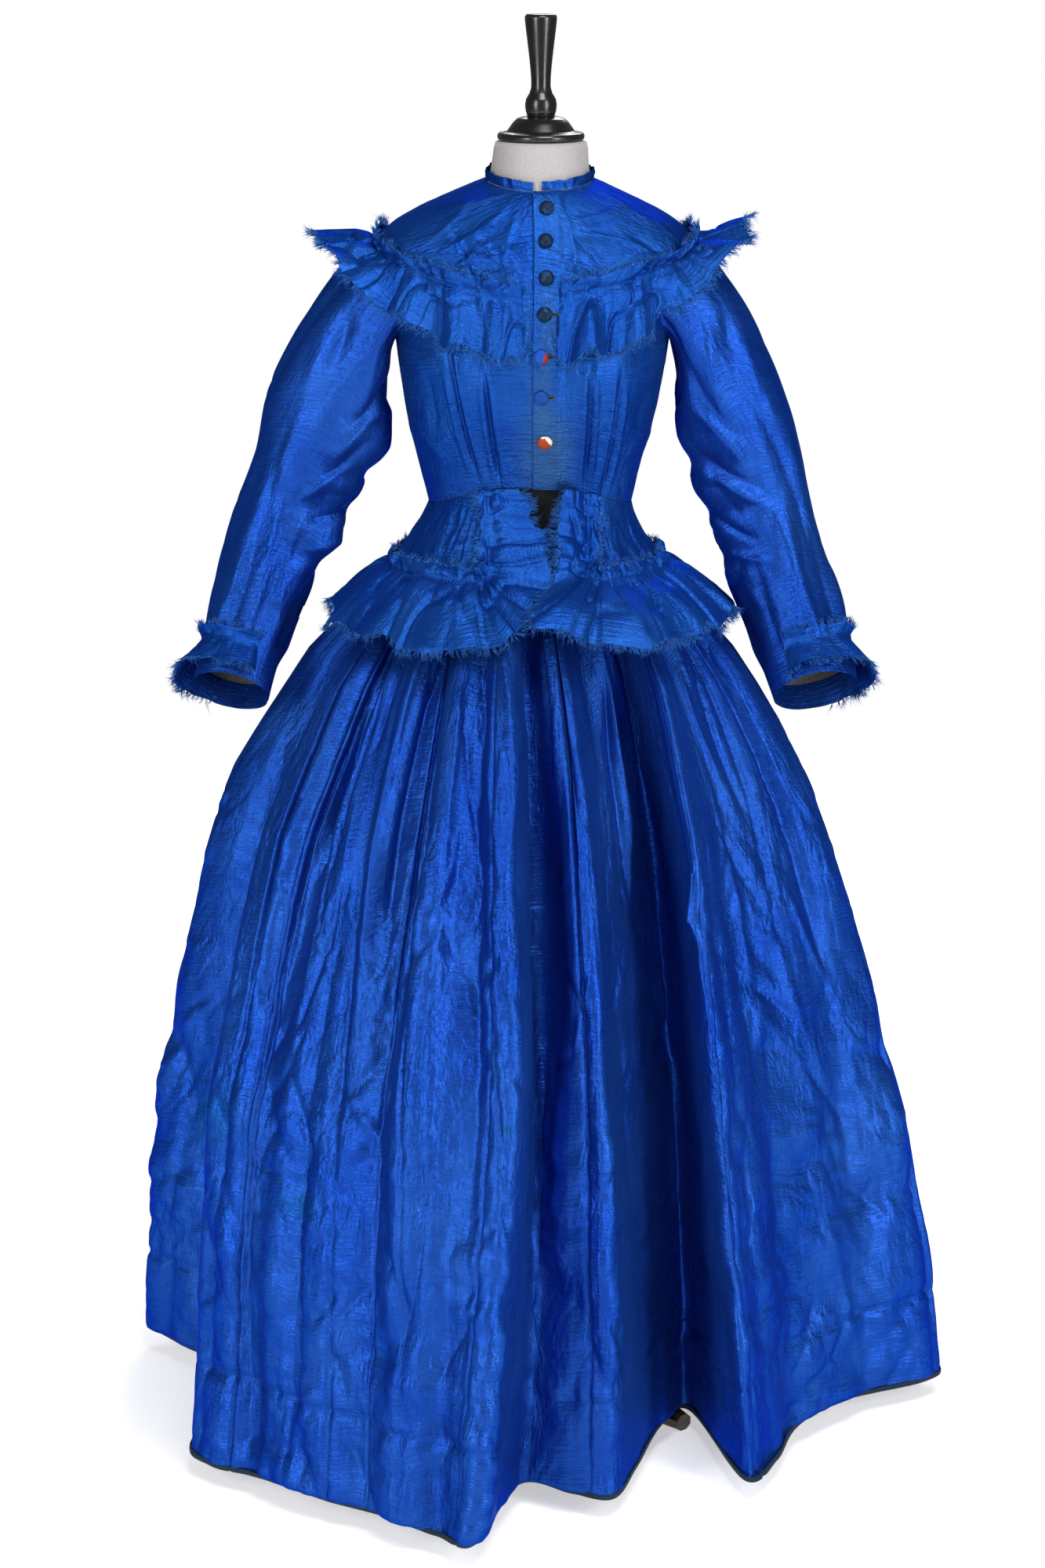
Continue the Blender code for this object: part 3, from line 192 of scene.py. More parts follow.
def clothPiece(name, grid, finish, nodes=None, closed=False, start=0.0, stains=None):
    # a sheet through a grid of points, its texture places in metres on the cloth
    rows, columns = grid.shape[:2]
    index = np.arange(rows * columns).reshape(rows, columns)
    wide = closedRound(grid) if closed else grid
    index = closedRound(index) if closed else index
    across = np.broadcast_to(lengthsAlong(wide, 1)[rows // 2], wide.shape[:2])
    uv = np.stack((across + start, lengthsAlong(wide, 0)), axis=-1)
    corners = [(slice(0, -1), slice(0, -1)), (slice(0, -1), slice(1, None)),
               (slice(1, None), slice(1, None)), (slice(1, None), slice(0, -1))]
    faces = np.stack([index[c] for c in corners], axis=-1).reshape(-1, 4)
    uvs = np.stack([uv[c] for c in corners], axis=2).reshape(-1, 2)
    nodes = (nodeOf(name),) if nodes is None else nodes
    piece = meshOf(name, grid.reshape(-1, 3), [faces], finish, nodes, uvs)
    if stains is not None:
        layer = piece.data.attributes.new("stain", "FLOAT", "POINT")
        layer.data.foreach_set("value", stains.reshape(-1).astype(np.float32))
    return piece


# places as the picture shows them, in its 1333 x 2000 pixels, about 0.86 mm each at the form
picture = {"distance": 4.0, "height": 1.75, "pitch": 14.5, "focal": 4650.0, "middleX": 690.0, "middleY": 1000.0,
           "wide": 1333, "tall": 2000, "film": 36}


def picturePlace(points):
    pitch = math.radians(picture["pitch"])
    x, y, z = points[..., 0], points[..., 1] + picture["distance"], points[..., 2] - picture["height"]
    depth = y * math.cos(pitch) - z * math.sin(pitch)
    up = y * math.sin(pitch) + z * math.cos(pitch)
    return picture["middleX"] + picture["focal"] * x / depth, picture["middleY"] - picture["focal"] * up / depth


def stainsAt(px, py, spots):
    # how far the dye has changed: spots with soft edges, each x, y, half width, half height, strength
    return sum(amount * np.exp(-(((px - x) / wide) ** 2 + ((py - y) / tall) ** 2) ** 1.5)
               for x, y, wide, tall, amount in spots)


creaseColumns = ("x0", "y0", "x1", "y1", "width", "depth", "bow")


def creaseRelief(px, py, creases):
    # each crease is a soft trough (depth below 0) or ridge along a bowed line, tapering to both ends
    relief = np.zeros_like(px)
    for values in creases:
        c = dict(zip(creaseColumns, values))
        dx, dy = c["x1"] - c["x0"], c["y1"] - c["y0"]
        run = math.hypot(dx, dy)
        t = ((px - c["x0"]) * dx + (py - c["y0"]) * dy) / run ** 2
        off = ((px - c["x0"]) * dy - (py - c["y0"]) * dx) / run
        off = off - c["bow"] * np.sin(np.pi * np.clip(t, 0, 1))
        taper = easeStep(t, -0.10, 0.28) * (1 - easeStep(t, 0.72, 1.10))
        relief += c["depth"] * 0.001 * np.exp(-np.abs(off / c["width"]) ** 1.3) * taper
    return relief


# finishes

def srgb(code):
    parts = [int(code[i:i + 2], 16) / 255 for i in (0, 2, 4)]
    return tuple(p / 12.92 if p <= 0.04045 else ((p + 0.055) / 1.055) ** 2.4 for p in parts) + (1.0,)


def joinTo(node, links):
    # each source is a socket, or a node whose first output is meant
    for name, source in links.items():
        node.id_data.links.new(source.outputs[0] if hasattr(source, "outputs") else source, node.inputs[name])
    return node


def addNode(tree, kind, settings=None, links=None):
    node = tree.nodes.new(kind)
    for name, value in (settings or {}).items():
        if name == "stops":                     # the places and colours of a ramp
            for stop, (place, code) in zip(node.color_ramp.elements, value):
                stop.position, stop.color = place, srgb(code)
        elif isinstance(name, int) or name in node.inputs:
            node.inputs[name].default_value = value
        else:
            setattr(node, name, value)
    return joinTo(node, links or {})


def newFinish(name, shaderSettings):
    finish = bpy.data.materials.new(name)
    finish.use_nodes = True
    tree = finish.node_tree
    shader = tree.nodes["Principled BSDF"]
    for socket, value in shaderSettings.items():
        shader.inputs[socket].default_value = value
    return finish, tree, shader


def clothPlaces(tree, acrossMm, alongMm):
    # the cloth's own places, so that one unit of a pattern is this many millimetres across and along
    uv = addNode(tree, "ShaderNodeUVMap", {"uv_map": "cloth"})
    return addNode(tree, "ShaderNodeMapping", {"Scale": (1000 / acrossMm, 1000 / alongMm, 1.0)}, {"Vector": uv})


silkPatterns = {                        # millimetres across and along the cloth, detail, roughness
    "fade": (130, 220, 5.0, 0.65),      # the dye has faded in broad patches
    "streaks": (3.2, 60, 4.0, 0.7),     # warp threads lie 0.1 mm apart, drawn as streaks of 3 mm to show
    "slubs": (26, 3.4, 3.0, 0.6),       # weft slubs, drawn 3.4 mm apart, hatch the gloss across the folds
    "grain": (1.7, 2.2, 2.0, 0.6),      # crossings of warp and weft, drawn 1.7 mm apart, speckle the gloss
    "calm": (75, 120, 1.0, 0.5),        # the small creases lie flatter in patches
}
# share of the look's size, lean, share of the look's depth
smallCreases = {"broad": (1.0, 0.16, 1.0), "fine": (0.42, -0.42, 0.36)}


def wovenSilk(name, look):
    # plain-woven silk taffeta: crisp, with a coloured gloss that breaks up along its threads and crinkles
    finish, tree, shader = newFinish(name, {
        "Roughness": look["roughness"], "Metallic": look["metallic"], "IOR": 1.5,
        "Specular IOR Level": look["specular"], "Specular Tint": srgb(look["glossHex"]),
        "Sheen Weight": look["sheen"], "Sheen Roughness": 0.4, "Sheen Tint": srgb(look["sheenHex"])})
    pattern = {part: addNode(tree, "ShaderNodeTexNoise", {"Scale": 1.0, "Detail": detail, "Roughness": rough},
                             {"Vector": clothPlaces(tree, acrossMm, alongMm)})
               for part, (acrossMm, alongMm, detail, rough) in silkPatterns.items()}
    thread = addNode(tree, "ShaderNodeMath", {"operation": "MULTIPLY_ADD", 1: 0.45},
                     {0: pattern["streaks"], 2: pattern["slubs"]})
    blend = addNode(tree, "ShaderNodeValToRGB", {"stops": ((0.35, look["deepHex"]), (0.68, look["paleHex"]))},
                    {"Fac": pattern["fade"]})
    span = addNode(tree, "ShaderNodeMapRange", {
        "From Min": 0.45, "From Max": 1.0, "To Min": 0.84, "To Max": 1.16}, {"Value": thread})
    colour = addNode(tree, "ShaderNodeVectorMath", {"operation": "SCALE"}, {0: blend, "Scale": span})
    stain = addNode(tree, "ShaderNodeAttribute", {"attribute_name": "stain"})
    stained = addNode(tree, "ShaderNodeMix", {"data_type": "RGBA", 7: srgb(look["stainHex"])},
                      {0: stain.outputs["Fac"], 6: colour})
    lively = addNode(tree, "ShaderNodeMapRange", {
        "From Min": 0.42, "From Max": 0.60, "To Min": 0.35, "To Max": 1.0}, {"Value": pattern["calm"]})
    heights = [(look["threadDepth"], {"Height": thread}), (look["grainDepth"], {"Height": pattern["grain"]})]
    # crisp small creases, finer than the folds of the mesh: swells folded over along their middle
    for share, lean, depthShare in (smallCreases["fine"], smallCreases["broad"]):
        size = look["facetMm"] * share
        turned = addNode(tree, "ShaderNodeMapping", {"Rotation": (0.0, 0.0, lean)},
                         {"Vector": clothPlaces(tree, size, size)})
        longer = addNode(tree, "ShaderNodeMapping", {"Scale": (1.0, look["facetStretch"], 1.0)},
                         {"Vector": turned})
        swells = addNode(tree, "ShaderNodeTexNoise", {"Scale": 1.0, "Detail": 2.0, "Roughness": 0.5},
                         {"Vector": longer})
        middle = addNode(tree, "ShaderNodeMath", {"operation": "SUBTRACT", 1: 0.5}, {0: swells})
        folded = addNode(tree, "ShaderNodeMath", {"operation": "ABSOLUTE"}, {0: middle})
        heights.append((look["facetDepth"] * depthShare, {"Height": folded, "Strength": lively}))
    normal = {}
    for depth, sources in heights:
        bump = addNode(tree, "ShaderNodeBump", {"Strength": 1.0, "Distance": depth}, {**sources, **normal})
        normal = {"Normal": bump}
    gloss = addNode(tree, "ShaderNodeMapRange", {
        "From Min": 0.3, "From Max": 0.7, "To Min": look["roughness"] - 0.07, "To Max": look["roughness"] + 0.10},
        {"Value": pattern["fade"]})
    joinTo(shader, {"Base Color": stained.outputs[2], "Roughness": gloss, **normal})
    return finish


taffetaLook = {"deepHex": "143C96", "paleHex": "204C9E", "glossHex": "2A6ADA", "sheenHex": "2468E0",
               "stainHex": "0E4A74", "roughness": 0.28, "metallic": 0.68, "specular": 0.0, "sheen": 0.10,
               "threadDepth": 0.00120, "grainDepth": 0.00035,
               "facetMm": 23.0, "facetDepth": 0.0064, "facetStretch": 0.36}
sleeveLook = dict(taffetaLook, roughness=0.26, facetMm=26.0, facetDepth=0.0044, facetStretch=0.22)
bodiceLook = dict(taffetaLook, stainHex="3A6080", deepHex="103A8C", paleHex="2054A2", roughness=0.31,
                  facetMm=15.0, facetDepth=0.0044, facetStretch=0.5)
frillLook = dict(taffetaLook, deepHex="103C8E", paleHex="2054A4", roughness=0.34, metallic=0.64,
                 facetMm=10.0, facetDepth=0.0030, facetStretch=0.5)
taffeta = wovenSilk("silk taffeta, plain woven", taffetaLook)
sleeveTaffeta = wovenSilk("silk taffeta, sleeves", sleeveLook)
bodiceTaffeta = wovenSilk("silk taffeta, faded on the bodice", bodiceLook)
frillTaffeta = wovenSilk("silk taffeta, faded frill strips", frillLook)


def plainFibre(name, hexes, roughness, grain, sheen=0.0, specular=0.3):
    # spun or twisted fibre: matt, each strand a little lighter or darker than the next
    finish, tree, shader = newFinish(name, {"Roughness": roughness, "Specular IOR Level": specular,
                                            "Sheen Weight": sheen, "Sheen Tint": srgb(hexes[1])})
    places = addNode(tree, "ShaderNodeTexCoord").outputs["Object"]
    strands = addNode(tree, "ShaderNodeTexNoise", {"Scale": grain, "Detail": 3.0}, {"Vector": places})
    colour = addNode(tree, "ShaderNodeValToRGB", {"stops": ((0.3, hexes[0]), (0.7, hexes[1]))}, {"Fac": strands})
    bump = addNode(tree, "ShaderNodeBump", {"Strength": 0.6, "Distance": 0.0002}, {"Height": strands})
    joinTo(shader, {"Base Color": colour, "Normal": bump})
    return finish


# roughness, then how many strands lie in a metre: 420 are 2.4 mm each, which is drawn that coarse to show
frayedSilk = plainFibre("silk thread, frayed", ("04204E", "2E70CC"), 0.55, 420.0, 0.1, 0.15)
hemBraid = plainFibre("worsted hem braid", ("0A1A28", "142C3C"), 0.85, 700.0)
# black cotton tape, also painted shade: its black is partly the waist tape's own colour and partly shade for the
# dark gap under the peplum, and it fills the buttonhole slits
blackTapeAndShade = plainFibre("cotton tape, black, and painted shade", ("05070C", "0C0E16"), 0.9, 600.0)
liningCotton = plainFibre("glazed cotton lining, taupe", ("47473F", "605F57"), 0.8, 500.0)
sewingSilk = plainFibre("sewing silk, blue", ("0A3078", "123C8C"), 0.6, 900.0)
buttonholeSilk = plainFibre("buttonhole twist, olive", ("2C2E1C", "4A4A30"), 0.6, 900.0)


def linenCloth():
    # plain-woven linen stretched over padding: matt, its threads about 0.5 mm apart just showing
    finish, tree, shader = newFinish("linen, plain woven", {"Roughness": 0.9, "Specular IOR Level": 0.2,
                                                            "Sheen Weight": 0.15})
    places = addNode(tree, "ShaderNodeTexCoord").outputs["Object"]
    threads = [addNode(tree, "ShaderNodeTexNoise", {"Scale": 1.0, "Detail": 2.0}, {
        "Vector": addNode(tree, "ShaderNodeMapping", {"Scale": perMetre}, {"Vector": places})})
        for perMetre in ((300, 300, 2000), (2000, 2000, 300))]
    both = addNode(tree, "ShaderNodeMath", {"operation": "ADD"}, dict(enumerate(threads)))
    tone = addNode(tree, "ShaderNodeMapRange", {"From Min": 0.6, "From Max": 1.4}, {"Value": both})
    colour = addNode(tree, "ShaderNodeValToRGB", {"stops": ((0.0, "949090"), (1.0, "AEAAAB"))}, {"Fac": tone})
    bump = addNode(tree, "ShaderNodeBump", {"Strength": 0.5, "Distance": 0.0003}, {"Height": both})
    joinTo(shader, {"Base Color": colour, "Normal": bump})
    return finish


def ebonisedWood():
    # turned and ebonised beech: black, half gloss, worn brown on its turned edges and scuffed
    finish, tree, shader = newFinish("beech, ebonised and polished", {"Roughness": 0.3, "Specular IOR Level": 0.5,
                                                                      "Coat Weight": 0.25, "Coat Roughness": 0.2})
    places = addNode(tree, "ShaderNodeTexCoord").outputs["Object"]
    # pores 6 mm apart round the wood and 40 mm long, and scuffs of 11 mm
    long = addNode(tree, "ShaderNodeMapping", {"Scale": (180, 180, 25)}, {"Vector": places})
    grain = addNode(tree, "ShaderNodeTexNoise", {"Scale": 1.0, "Detail": 5.0}, {"Vector": long})
    wear = addNode(tree, "ShaderNodeTexNoise", {"Scale": 90.0, "Detail": 5.0, "Roughness": 0.7},
                   {"Vector": places})
    edges = addNode(tree, "ShaderNodeNewGeometry").outputs["Pointiness"]
    worn = addNode(tree, "ShaderNodeMapRange", {"From Min": 0.515, "From Max": 0.56}, {"Value": edges})
    amount = addNode(tree, "ShaderNodeMath", {"operation": "MULTIPLY"}, {0: worn, 1: wear})
    colour = addNode(tree, "ShaderNodeMix", {"data_type": "RGBA", 6: srgb("0B0B0C"), 7: srgb("4A3A2C")},
                     {0: amount})
    rough = addNode(tree, "ShaderNodeMapRange", {"To Min": 0.18, "To Max": 0.42}, {"Value": wear})
    bump = addNode(tree, "ShaderNodeBump", {"Strength": 0.4, "Distance": 0.0002}, {"Height": grain})
    joinTo(shader, {"Base Color": colour.outputs[2], "Roughness": rough, "Normal": bump})
    return finish


linen = linenCloth()
blackWood = ebonisedWood()
print("finishes made")


# the body's shape that the bodice is cut to

bodyColumns = ("height", "halfWidth", "front", "back", "middleX", "liftFront", "liftBack", "square")
body = tableOf(bodyColumns, {
    "waist":      (1.042, 0.1125, 0.0840, 0.0760, -0.012, 0.027, 0.000, 2.2),
    "ribs":       (1.090, 0.1240, 0.0960, 0.0850, -0.012, 0.014, 0.000, 2.2),
    "underBust":  (1.140, 0.1370, 0.1110, 0.0940, -0.011, 0.005, 0.000, 2.2),
    "bust":       (1.200, 0.1470, 0.1240, 0.1030, -0.010, 0.000, 0.000, 2.2),
    "armpit":     (1.245, 0.1530, 0.1210, 0.1070, -0.009, 0.000, 0.002, 2.2),
    "chest":      (1.285, 0.1620, 0.1100, 0.1080, -0.008, 0.000, 0.005, 2.3),
    "shoulder":   (1.322, 0.1750, 0.0950, 0.1030, -0.007, 0.000, 0.010, 2.3),
    "slopeLow":   (1.345, 0.1600, 0.0830, 0.0920, -0.006, 0.002, 0.014, 2.2),
    "slope":      (1.366, 0.1260, 0.0720, 0.0790, -0.005, 0.001, 0.016, 2.1),
    "slopeHigh":  (1.382, 0.0880, 0.0640, 0.0660, -0.003, -0.002, 0.018, 2.0),
    "neckline":   (1.394, 0.0590, 0.0580, 0.0560, -0.001, -0.009, 0.012, 2.0),
})
topLevel = float(len(body["height"]) - 1)     # levels count the rows above, from 0 at the waist
bustCup = {"rise": 0.010, "turn": 34.0, "spread": 24.0, "level": 3.2, "reach": 1.3, "radius": 0.13}
armhole = {"low": 3.45, "high": 6.05, "halfTurn": 33.0}


def bodyPoint(turn, level):
    turn, level = np.broadcast_arrays(np.asarray(turn, float), np.asarray(level, float))
    row = {name: curveAt(values, level) for name, values in body.items()}
    s, c = np.sin(np.radians(turn)), np.cos(np.radians(turn))
    side = np.abs((turn + 180) % 360 - 180)
    cup = bustCup["rise"] * np.exp(-((side - bustCup["turn"]) / bustCup["spread"]) ** 2
                                   - ((level - bustCup["level"]) / bustCup["reach"]) ** 2)
    reach = 1 + cup / bustCup["radius"]
    power = 2 / row["square"]
    lift = np.where(c > 0, row["liftFront"], row["liftBack"])
    return np.stack((row["middleX"] + row["halfWidth"] * signedPower(s, power) * reach,
                     -np.where(c > 0, row["front"], row["back"]) * signedPower(c, power) * reach,
                     row["height"] + lift * c * c), axis=-1)


def outward(pointAt, u, v, stepU, stepV):
    # the way out of a surface, from steps to both sides of each place
    return unit(np.cross(pointAt(u + stepU, v) - pointAt(u - stepU, v),
                         pointAt(u, v + stepV) - pointAt(u, v - stepV)))


def bodyOut(turn, level):
    return outward(bodyPoint, turn, level, 1.0, 0.05)


def turnAtX(pointAt, x, v, reach=60.0):
    # the turn at which a front face lies at this x
    x, v = np.broadcast_arrays(np.asarray(x, float), np.asarray(v, float))
    low, high = np.full(x.shape, -reach), np.full(x.shape, reach)
    for _ in range(30):
        middle = (low + high) / 2
        left = pointAt(middle, v)[..., 0] < x
        low, high = np.where(left, middle, low), np.where(left, high, middle)
    return (low + high) / 2


def halfArmhole(level):
    middle, half = (armhole["low"] + armhole["high"]) / 2, (armhole["high"] - armhole["low"]) / 2
    return armhole["halfTurn"] * np.sqrt(np.maximum(1 - ((level - middle) / half) ** 2, 0.0))


def bodiceLevels(count):
    # rings, closer together where the armhole's ends curve fast
    low, high = armhole["low"], armhole["high"]
    share = np.linspace(0, 1, count // 2)
    hole = (low + high) / 2 - (high - low) / 2 * np.cos(np.pi * share)
    below, above = np.linspace(0, low, count // 3)[:-1], np.linspace(high, topLevel, count // 3)[1:]
    return np.concatenate((below, hole, above))


# creases of the bodice as seen in front: drag lines of the yoke, dart seams, side hollows
bodiceCreases = (
    (650, 262, 560, 322, 5, 1.3, 6), (660, 300, 575, 348, 6, 1.2, -5), (600, 258, 540, 312, 5, 1.0, 4),
    (722, 285, 800, 262, 5, 1.2, -4), (716, 300, 830, 318, 6, 1.3, 5), (712, 330, 800, 352, 5, 1.1, -4),
    (716, 290, 770, 340, 4, -1.2, 3), (650, 345, 600, 352, 4, -0.9, 2), (575, 288, 602, 356, 2.6, -1.3, 2),
    (716, 262, 735, 345, 5, 0.9, 4), (664, 318, 600, 330, 4, -1.1, -3), (640, 250, 580, 262, 5, 1.0, 3),
    (600, 300, 640, 345, 4, 0.9, 3), (760, 240, 850, 290, 5, 0.9, -4), (800, 300, 850, 330, 4, -0.9, 3),
    (662, 268, 640, 350, 5, 0.5, -4), (706, 440, 736, 470, 6, 0.5, 3), (540, 470, 556, 560, 9, -0.9, 4),
    (835, 480, 812, 560, 9, -0.9, -4), (572, 443, 611, 616, 2.4, -1.9, -4), (617, 470, 640, 626, 2.4, -1.9, -3),
    (754, 470, 745, 628, 2.4, -1.9, 3), (793, 475, 766, 638, 2.4, -1.9, 4), (579, 446, 618, 614, 3.6, 1.2, -4),
    (610, 470, 633, 622, 3.6, 1.1, -3), (625, 480, 648, 622, 3.4, 0.9, -3), (761, 470, 752, 624, 3.6, 1.2, 3),
    (786, 475, 759, 634, 3.6, 1.1, 4), (746, 480, 738, 622, 3.4, 0.9, 3), (800, 485, 776, 625, 3.4, 0.8, 4),
    (565, 470, 604, 615, 3.4, 0.8, -4), (650, 500, 660, 600, 8, 0.5, 3), (712, 500, 716, 600, 7, 0.5, -3),
    (520, 540, 566, 590, 7, 0.6, 4), (838, 545, 792, 590, 7, 0.6, -4),
)
# the same kind of drag lines on the hidden back, in millimetres across and up
backCreases = (
    (-95, 1330, -30, 1255, 9, 0.9, 6), (90, 1325, 28, 1262, 9, 0.9, -5), (-60, 1290, -50, 1190, 10, 0.7, 5),
    (58, 1300, 46, 1185, 10, 0.8, -5), (-88, 1180, -52, 1060, 3, -0.9, 6), (70, 1180, 34, 1060, 3, -0.9, -6),
    (-30, 1200, -28, 1050, 3, -0.9, 2), (12, 1200, 8, 1050, 3, -0.9, 2), (-110, 1120, -60, 1085, 7, 0.6, 3),
    (88, 1120, 40, 1088, 7, 0.6, -3), (-20, 1385, -60, 1340, 7, 0.7, 4), (16, 1384, 62, 1345, 7, 0.7, -4),
)

# the placket has faded to a greyish teal, most of all low down
bodiceStains = ((698, 580, 34, 62, 0.6), (690, 500, 14, 40, 0.35), (700, 420, 12, 60, 0.25),
                (640, 640, 30, 14, 0.25))
bodiceFolds = {"seen": 2.8, "hidden": 1.6, "swell": 0.0005, "ridge": 0.0004}
lapSlope = (0.017, 0.027)                      # from here to here along x the left front comes down off the right


def lapAt(x):
    return lapRise * (1 - easeStep(x, *lapSlope))


def bodiceRelief(grid, turns, levels):
    # what lies on the smooth body: fine rumples everywhere, creases in front and behind
    front = np.cos(np.radians(turns)) > 0
    x, z = grid[..., 0], grid[..., 2]
    seen = creaseRelief(*picturePlace(grid), bodiceCreases) * bodiceFolds["seen"]
    behind = creaseRelief(x * 1000, z * 1000, backCreases) * bodiceFolds["hidden"]
    rumple = bodiceFolds["swell"] * softNoise(x / 0.022 + 40, z / 0.035, 11)
    rumple += bodiceFolds["ridge"] * (crumple(x / 0.030 + 40, z / 0.030, 21) - 0.3)
    return np.where(front, seen, behind) + rumple * easeStep(levels, 0.1, 0.6) * (1 - easeStep(levels, 9.3, 9.9))


def bodicePanel(name, turnsAt, columns, lapped=False):
    levels = bodiceLevels(108)[:, None]
    turns = turnsAt(levels, np.linspace(0, 1, columns)[None, :])
    levels = np.broadcast_to(levels, turns.shape)
    grid = bodyPoint(turns, levels)
    normals = bodyOut(turns, levels)
    relief = bodiceRelief(grid, turns, levels)
    if lapped:
        relief = relief + lapAt(grid[..., 0])
    grid = grid + normals * relief[..., None]
    if lapped:                                # the edge is turned under, so the lap shows its thickness
        under = grid[:, :1] - normals[:, :1] * (lapRise - seamGap) + np.array((0.0006, 0, 0))
        grid = np.concatenate((under, grid), axis=1)
    stains = stainsAt(*picturePlace(grid), bodiceStains) * (grid[..., 1] < 0)
    return clothPiece(name, grid, bodiceTaffeta, stains=stains)


bodicePanel("bodiceFrontRight", lambda level, share: (-90 + halfArmhole(level)) * (1 - share)
            + turnAtX(bodyPoint, underlapX, level, 30.0) * share, 180)
bodicePanel("bodiceFrontLeft", lambda level, share: turnAtX(bodyPoint, frontEdgeX, level, 30.0) * (1 - share)
            + (90 - halfArmhole(level)) * share, 180, lapped=True)
bodicePanel("bodiceBack", lambda level, share: (90 + halfArmhole(level)) * (1 - share)
            + (270 - halfArmhole(level)) * share, 140)


neckband = {"from": 2.0, "to": 353.0, "back": 0.010, "drop": 0.004, "inset": 0.0012}


def buildNeckband():
    turns = np.linspace(neckband["from"], neckband["to"], 160)[None, :]
    share = np.linspace(0, 1, 9)[:, None]
    foot = bodyPoint(turns, np.full_like(turns, topLevel))
    inStep = outAt(turns) * neckband["inset"]
    rise = neckband["back"] + neckband["drop"] * (1 - np.cos(np.radians(turns))) / 2
    lift = 0.0006 + 0.0020 * (1 - easeStep(turns, 12, 40))          # its end rides over the lapped front
    low, high = foot - inStep * 0.2, foot - inStep
    low[..., 2] += lift
    high[..., 2] += rise + lift
    grid = low * (1 - share[..., None]) + high * share[..., None]
    swell = 0.0006 + 0.0012 * softNoise(turns / 6, share * 2, 31) + 0.0008 * softNoise(turns / 2.4, share * 3, 32)
    grid = grid + unit(inStep) * (swell * np.sin(np.pi * share * 0.6))[..., None]
    grid[..., 2] += 0.0012 * share * softNoise(turns / 7, 0 * share + 4, 33)
    return clothPiece("collarBand", grid, bodiceTaffeta, ("neckband",))


buildNeckband()
print("bodice made")


# sleeves

sleeveColumns = ("x", "y", "height", "halfWidth", "halfDepth")
sleeves = {
    "Right": (-1, tableOf(sleeveColumns, {
        "biceps":   (-0.2370, 0.010, 1.128, 0.0690, 0.0520),
        "elbowTop": (-0.2610, 0.022, 1.072, 0.0610, 0.0500),
        "elbow":    (-0.2810, 0.026, 1.018, 0.0590, 0.0490),
        "forearm":  (-0.3040, 0.018, 0.968, 0.0520, 0.0450),
        "wristTop": (-0.3230, -0.002, 0.918, 0.0465, 0.0410),
        "wrist":    (-0.3360, -0.026, 0.872, 0.0440, 0.0370),
        "cuff":     (-0.3450, -0.052, 0.836, 0.0430, 0.0330),
    })),
    "Left": (1, tableOf(sleeveColumns, {
        "biceps":   (0.2130, 0.010, 1.128, 0.0630, 0.0500),
        "elbowTop": (0.2300, 0.022, 1.072, 0.0630, 0.0500),
        "elbow":    (0.2480, 0.026, 1.018, 0.0590, 0.0480),
        "forearm":  (0.2640, 0.018, 0.968, 0.0560, 0.0450),
        "wristTop": (0.2830, -0.002, 0.918, 0.0520, 0.0410),
        "wrist":    (0.2960, -0.026, 0.872, 0.0505, 0.0380),
        "cuff":     (0.3050, -0.052, 0.836, 0.0470, 0.0340),
    })),
}


def armholePoint(side, share):
    angle = 2 * np.pi * share
    low, high = armhole["low"], armhole["high"]
    level = (low + high) / 2 - (high - low) / 2 * np.cos(angle)
    point = bodyPoint(side * (90 - armhole["halfTurn"] * np.sin(angle)), level)
    middle = bodyPoint(side * 90.0, (low + high) / 2)
    return point + unit(middle - point) * seamGap * 1.5


def sleeveFrame(table, place):
    at = lambda p: np.stack([curveAt(table[n], p) for n in ("x", "y", "height")], axis=-1)
    way = unit(at(np.minimum(place + 0.15, 6.0)) - at(np.maximum(place - 0.15, 0.0)))
    way = unit(way + np.array((0.0, -0.30, 0.0)) * easeStep(place, 4.6, 6.0)[..., None])
    across = unit(np.cross(way, np.array((0.0, 1.0, 0.0))))
    return at(place), across, np.cross(across, way), way


def sleeveRing(table, side, place, share):
    middle, across, depth, _ = sleeveFrame(table, place)
    angle = 2 * np.pi * share[..., None]
    halfWidth, halfDepth = curveAt(table["halfWidth"], place), curveAt(table["halfDepth"], place)
    inward = across if side < 0 else -across
    front = np.where(depth[..., 1:2] < 0, depth, -depth)
    return middle + inward * halfWidth[..., None] * np.cos(angle) + front * halfDepth[..., None] * np.sin(angle)


elbowCreases = ((0.5, 0.06, 0.007), (1.5, 0.10, 0.008), (2.5, 0.04, 0.005))      # place, turn as a share, depth


def sleevePoint(side, table, place, share):
    place, share = np.broadcast_arrays(np.asarray(place, float), np.asarray(share, float))
    lower = np.maximum(place, 0.0)
    ring = sleeveRing(table, side, lower, share)
    crease = 0.0
    for at, turn, depth in elbowCreases:
        inner = np.maximum(np.cos(2 * np.pi * (share - turn)), 0)
        crease = crease + depth * np.exp(-((lower - at) / 0.28) ** 2) * inner
    ring = ring + unit(sleeveFrame(table, lower)[0] - ring) * (crease * easeStep(place, -0.2, 0.1))[..., None]
    start, end = armholePoint(side, share), sleeveRing(table, side, np.zeros_like(place), share)
    t = np.clip(place + 1, 0, 1)[..., None]
    over = ((1 - np.cos(2 * np.pi * share)) / 2)[..., None]
    leave = np.concatenate((side * (0.050 + 0.050 * over), 0 * over, 0.010 - 0.030 * (1 - over)), axis=-1)
    arrive = sleeveFrame(table, np.zeros_like(place))[3] * (0.060 + 0.110 * over)
    cap = ((2 * t ** 3 - 3 * t ** 2 + 1) * start + (t ** 3 - 2 * t ** 2 + t) * leave
           + (-2 * t ** 3 + 3 * t ** 2) * end + (t ** 3 - t ** 2) * arrive)
    return np.where(place[..., None] >= 0, ring, cap)


